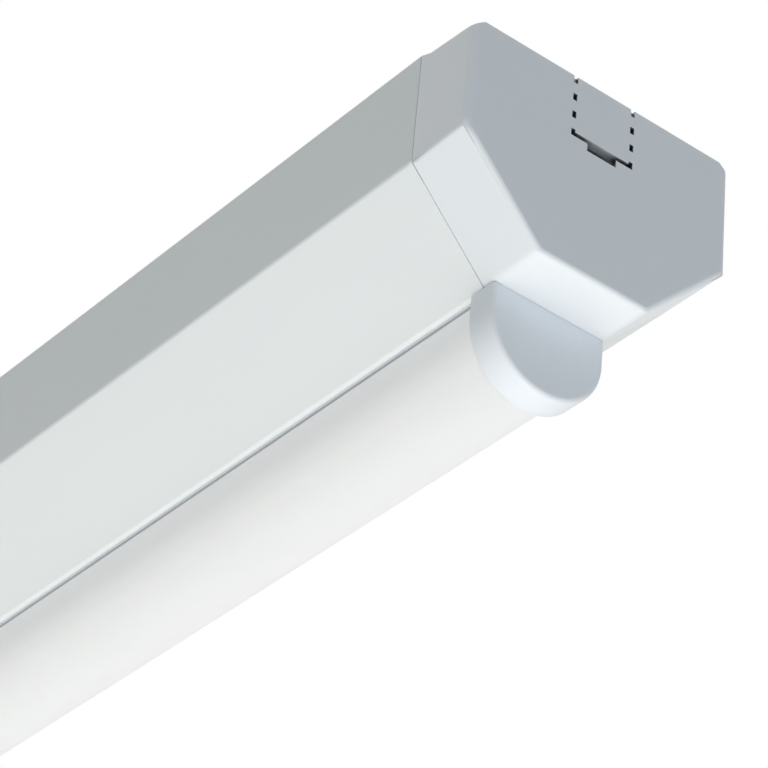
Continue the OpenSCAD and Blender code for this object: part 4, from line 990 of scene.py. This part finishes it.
# X of points that lie depth inside a side whose edge to the end face is rounded with the radius edge:
# face - edge + sqrt(edge^2 - (edge - depth)^2)
def onRoundedEdge(edge, depth):
    return endCap["face"] - edge + np.sqrt(edge ** 2 - (edge - depth) ** 2)


# Points on the bend keep their angle round its axis and move out to a smaller radius; where the bend runs
# into the rounded edges of the end face, x is the lesser of what side and chamfer ask for
def tightenEndCap(side):
    c, e = gearCover, endCap
    node = "end_cap_" + side
    mesh = nodes[node].data.copy()
    mesh.name = "tight_" + node
    points = np.empty(len(mesh.vertices) * 3, dtype=np.float32)
    mesh.vertices.foreach_get("co", points)
    points = points.reshape(-1, 3).astype(float) / mm
    turn = math.atan2(c["halfWidth"] - c["bottomHalf"], c["bodyHeight"] - c["sideHeight"])
    run = math.tan(turn / 2)
    old = (c["halfWidth"] - e["bend"], e["bend"] * run - c["sideHeight"])
    new = (c["halfWidth"] - e["tight"], e["tight"] * run - c["sideHeight"])
    y, z = np.abs(points[:, 1]) - old[0], points[:, 2] - old[1]
    swing = np.arctan2(-z, y)
    onBend = np.abs(np.hypot(y, z) - e["bend"]) < e["near"]
    onBend &= (swing > -e["nearAngle"]) & (swing < turn + e["nearAngle"])
    swing = swing.clip(0, turn)
    sideX = onRoundedEdge(e["sideEdge"], e["tight"] * (1 - np.cos(swing)))
    chamferX = onRoundedEdge(e["chamferEdge"], e["tight"] * (1 - np.cos(turn - swing)))
    onEdge = onBend & (np.abs(points[:, 0]) > e["face"] - e["sideEdge"] - e["nearEdge"])
    points[onBend, 1] = (np.sign(points[:, 1]) * (new[0] + e["tight"] * np.cos(swing)))[onBend]
    points[onBend, 2] = (new[1] - e["tight"] * np.sin(swing))[onBend]
    points[onEdge, 0] = (np.sign(points[:, 0]) * np.minimum(sideX, chamferX))[onEdge]
    mesh.vertices.foreach_set("co", (points * mm).ravel())
    work = openCadMesh(mesh, e["merge"], e["flat"])
    # cuts close to the corners keep the shading of each rounded edge even up to them
    cuts = [((0, 0, z * mm), (0, 0, 1)) for z in e["heightCuts"]]
    cuts += [((0, y * mm, 0), (0, 1, 0)) for y in e["widthCuts"]]
    for place, across in cuts:
        bmesh.ops.bisect_plane(work, geom=work.verts[:] + work.edges[:] + work.faces[:],
                               dist=cleaning["cadMerge"], plane_co=place, plane_no=across)
    # a thin sheet of the cap's plastic closes the two slits that open at the ceiling edge, so that they read
    # as dark: it stands in for the shade there, and the cap material's painted shade darkens it
    shadeFilmX = (e["face"] - e["shadeFilmDepth"]) * (1 if side == "right" else -1)
    for y in (-e["slitSide"], e["slitSide"]):
        film = bmesh.ops.create_cube(work, size=1.0)["verts"]
        bmesh.ops.scale(work, vec=[length * mm for length in e["shadeFilmSize"]], verts=film)
        bmesh.ops.translate(work, vec=(shadeFilmX * mm, y * mm, -e["shadeFilmDrop"] * mm), verts=film)
    closeMesh(work, mesh, e["sharp"])
    piece = placePiece("tight_" + node, mesh, node)
    even = piece.modifiers.new("evenShading", "WEIGHTED_NORMAL")
    even.weight = 50
    even.mode = "FACE_AREA"
    even.keep_sharp = True


tightenEndCap("left")
tightenEndCap("right")

# Small radius in mm that mould, press or saw leaves on each of these shapes' edges where they turn by more
# than bevelAngle degrees
bevelAngle = 40
softEdges = {
    "driver_case": 0.5, "driver_lid": 0.35, "terminal_block": 0.25, "docking_socket": 0.25,
    "docking_plug": 0.3, "cable_clamp": 0.35, "lead_clips": 0.3, "lever_live": 0.3, "lever_neutral": 0.3,
    "lever_earth": 0.3, "board_connectors": 0.12, "terminal_clamps": 0.06, "docking_blades": 0.08,
    "earth_tag": 0.08, "cover_earth_stud": 0.1, "led_carrier": 0.12, "led_board_left": 0.08,
    "led_board_right": 0.08,
}


# A Bevel modifier rounds the edges of the cleaned CAD shape
def softenEdges(node):
    mesh = nodes[node].data.copy()
    mesh.name = "soft_" + node
    closeMesh(openCadMesh(mesh), mesh)
    piece = placePiece("soft_" + node, mesh, node)
    bevel = piece.modifiers.new("mouldRadius", "BEVEL")
    bevel.width = softEdges[node] * mm
    bevel.segments = 2
    bevel.limit_method = "ANGLE"
    bevel.angle_limit = math.radians(bevelAngle)
    bevel.harden_normals = True


for softNode in softEdges:
    softenEdges(softNode)
print("soft edges made")
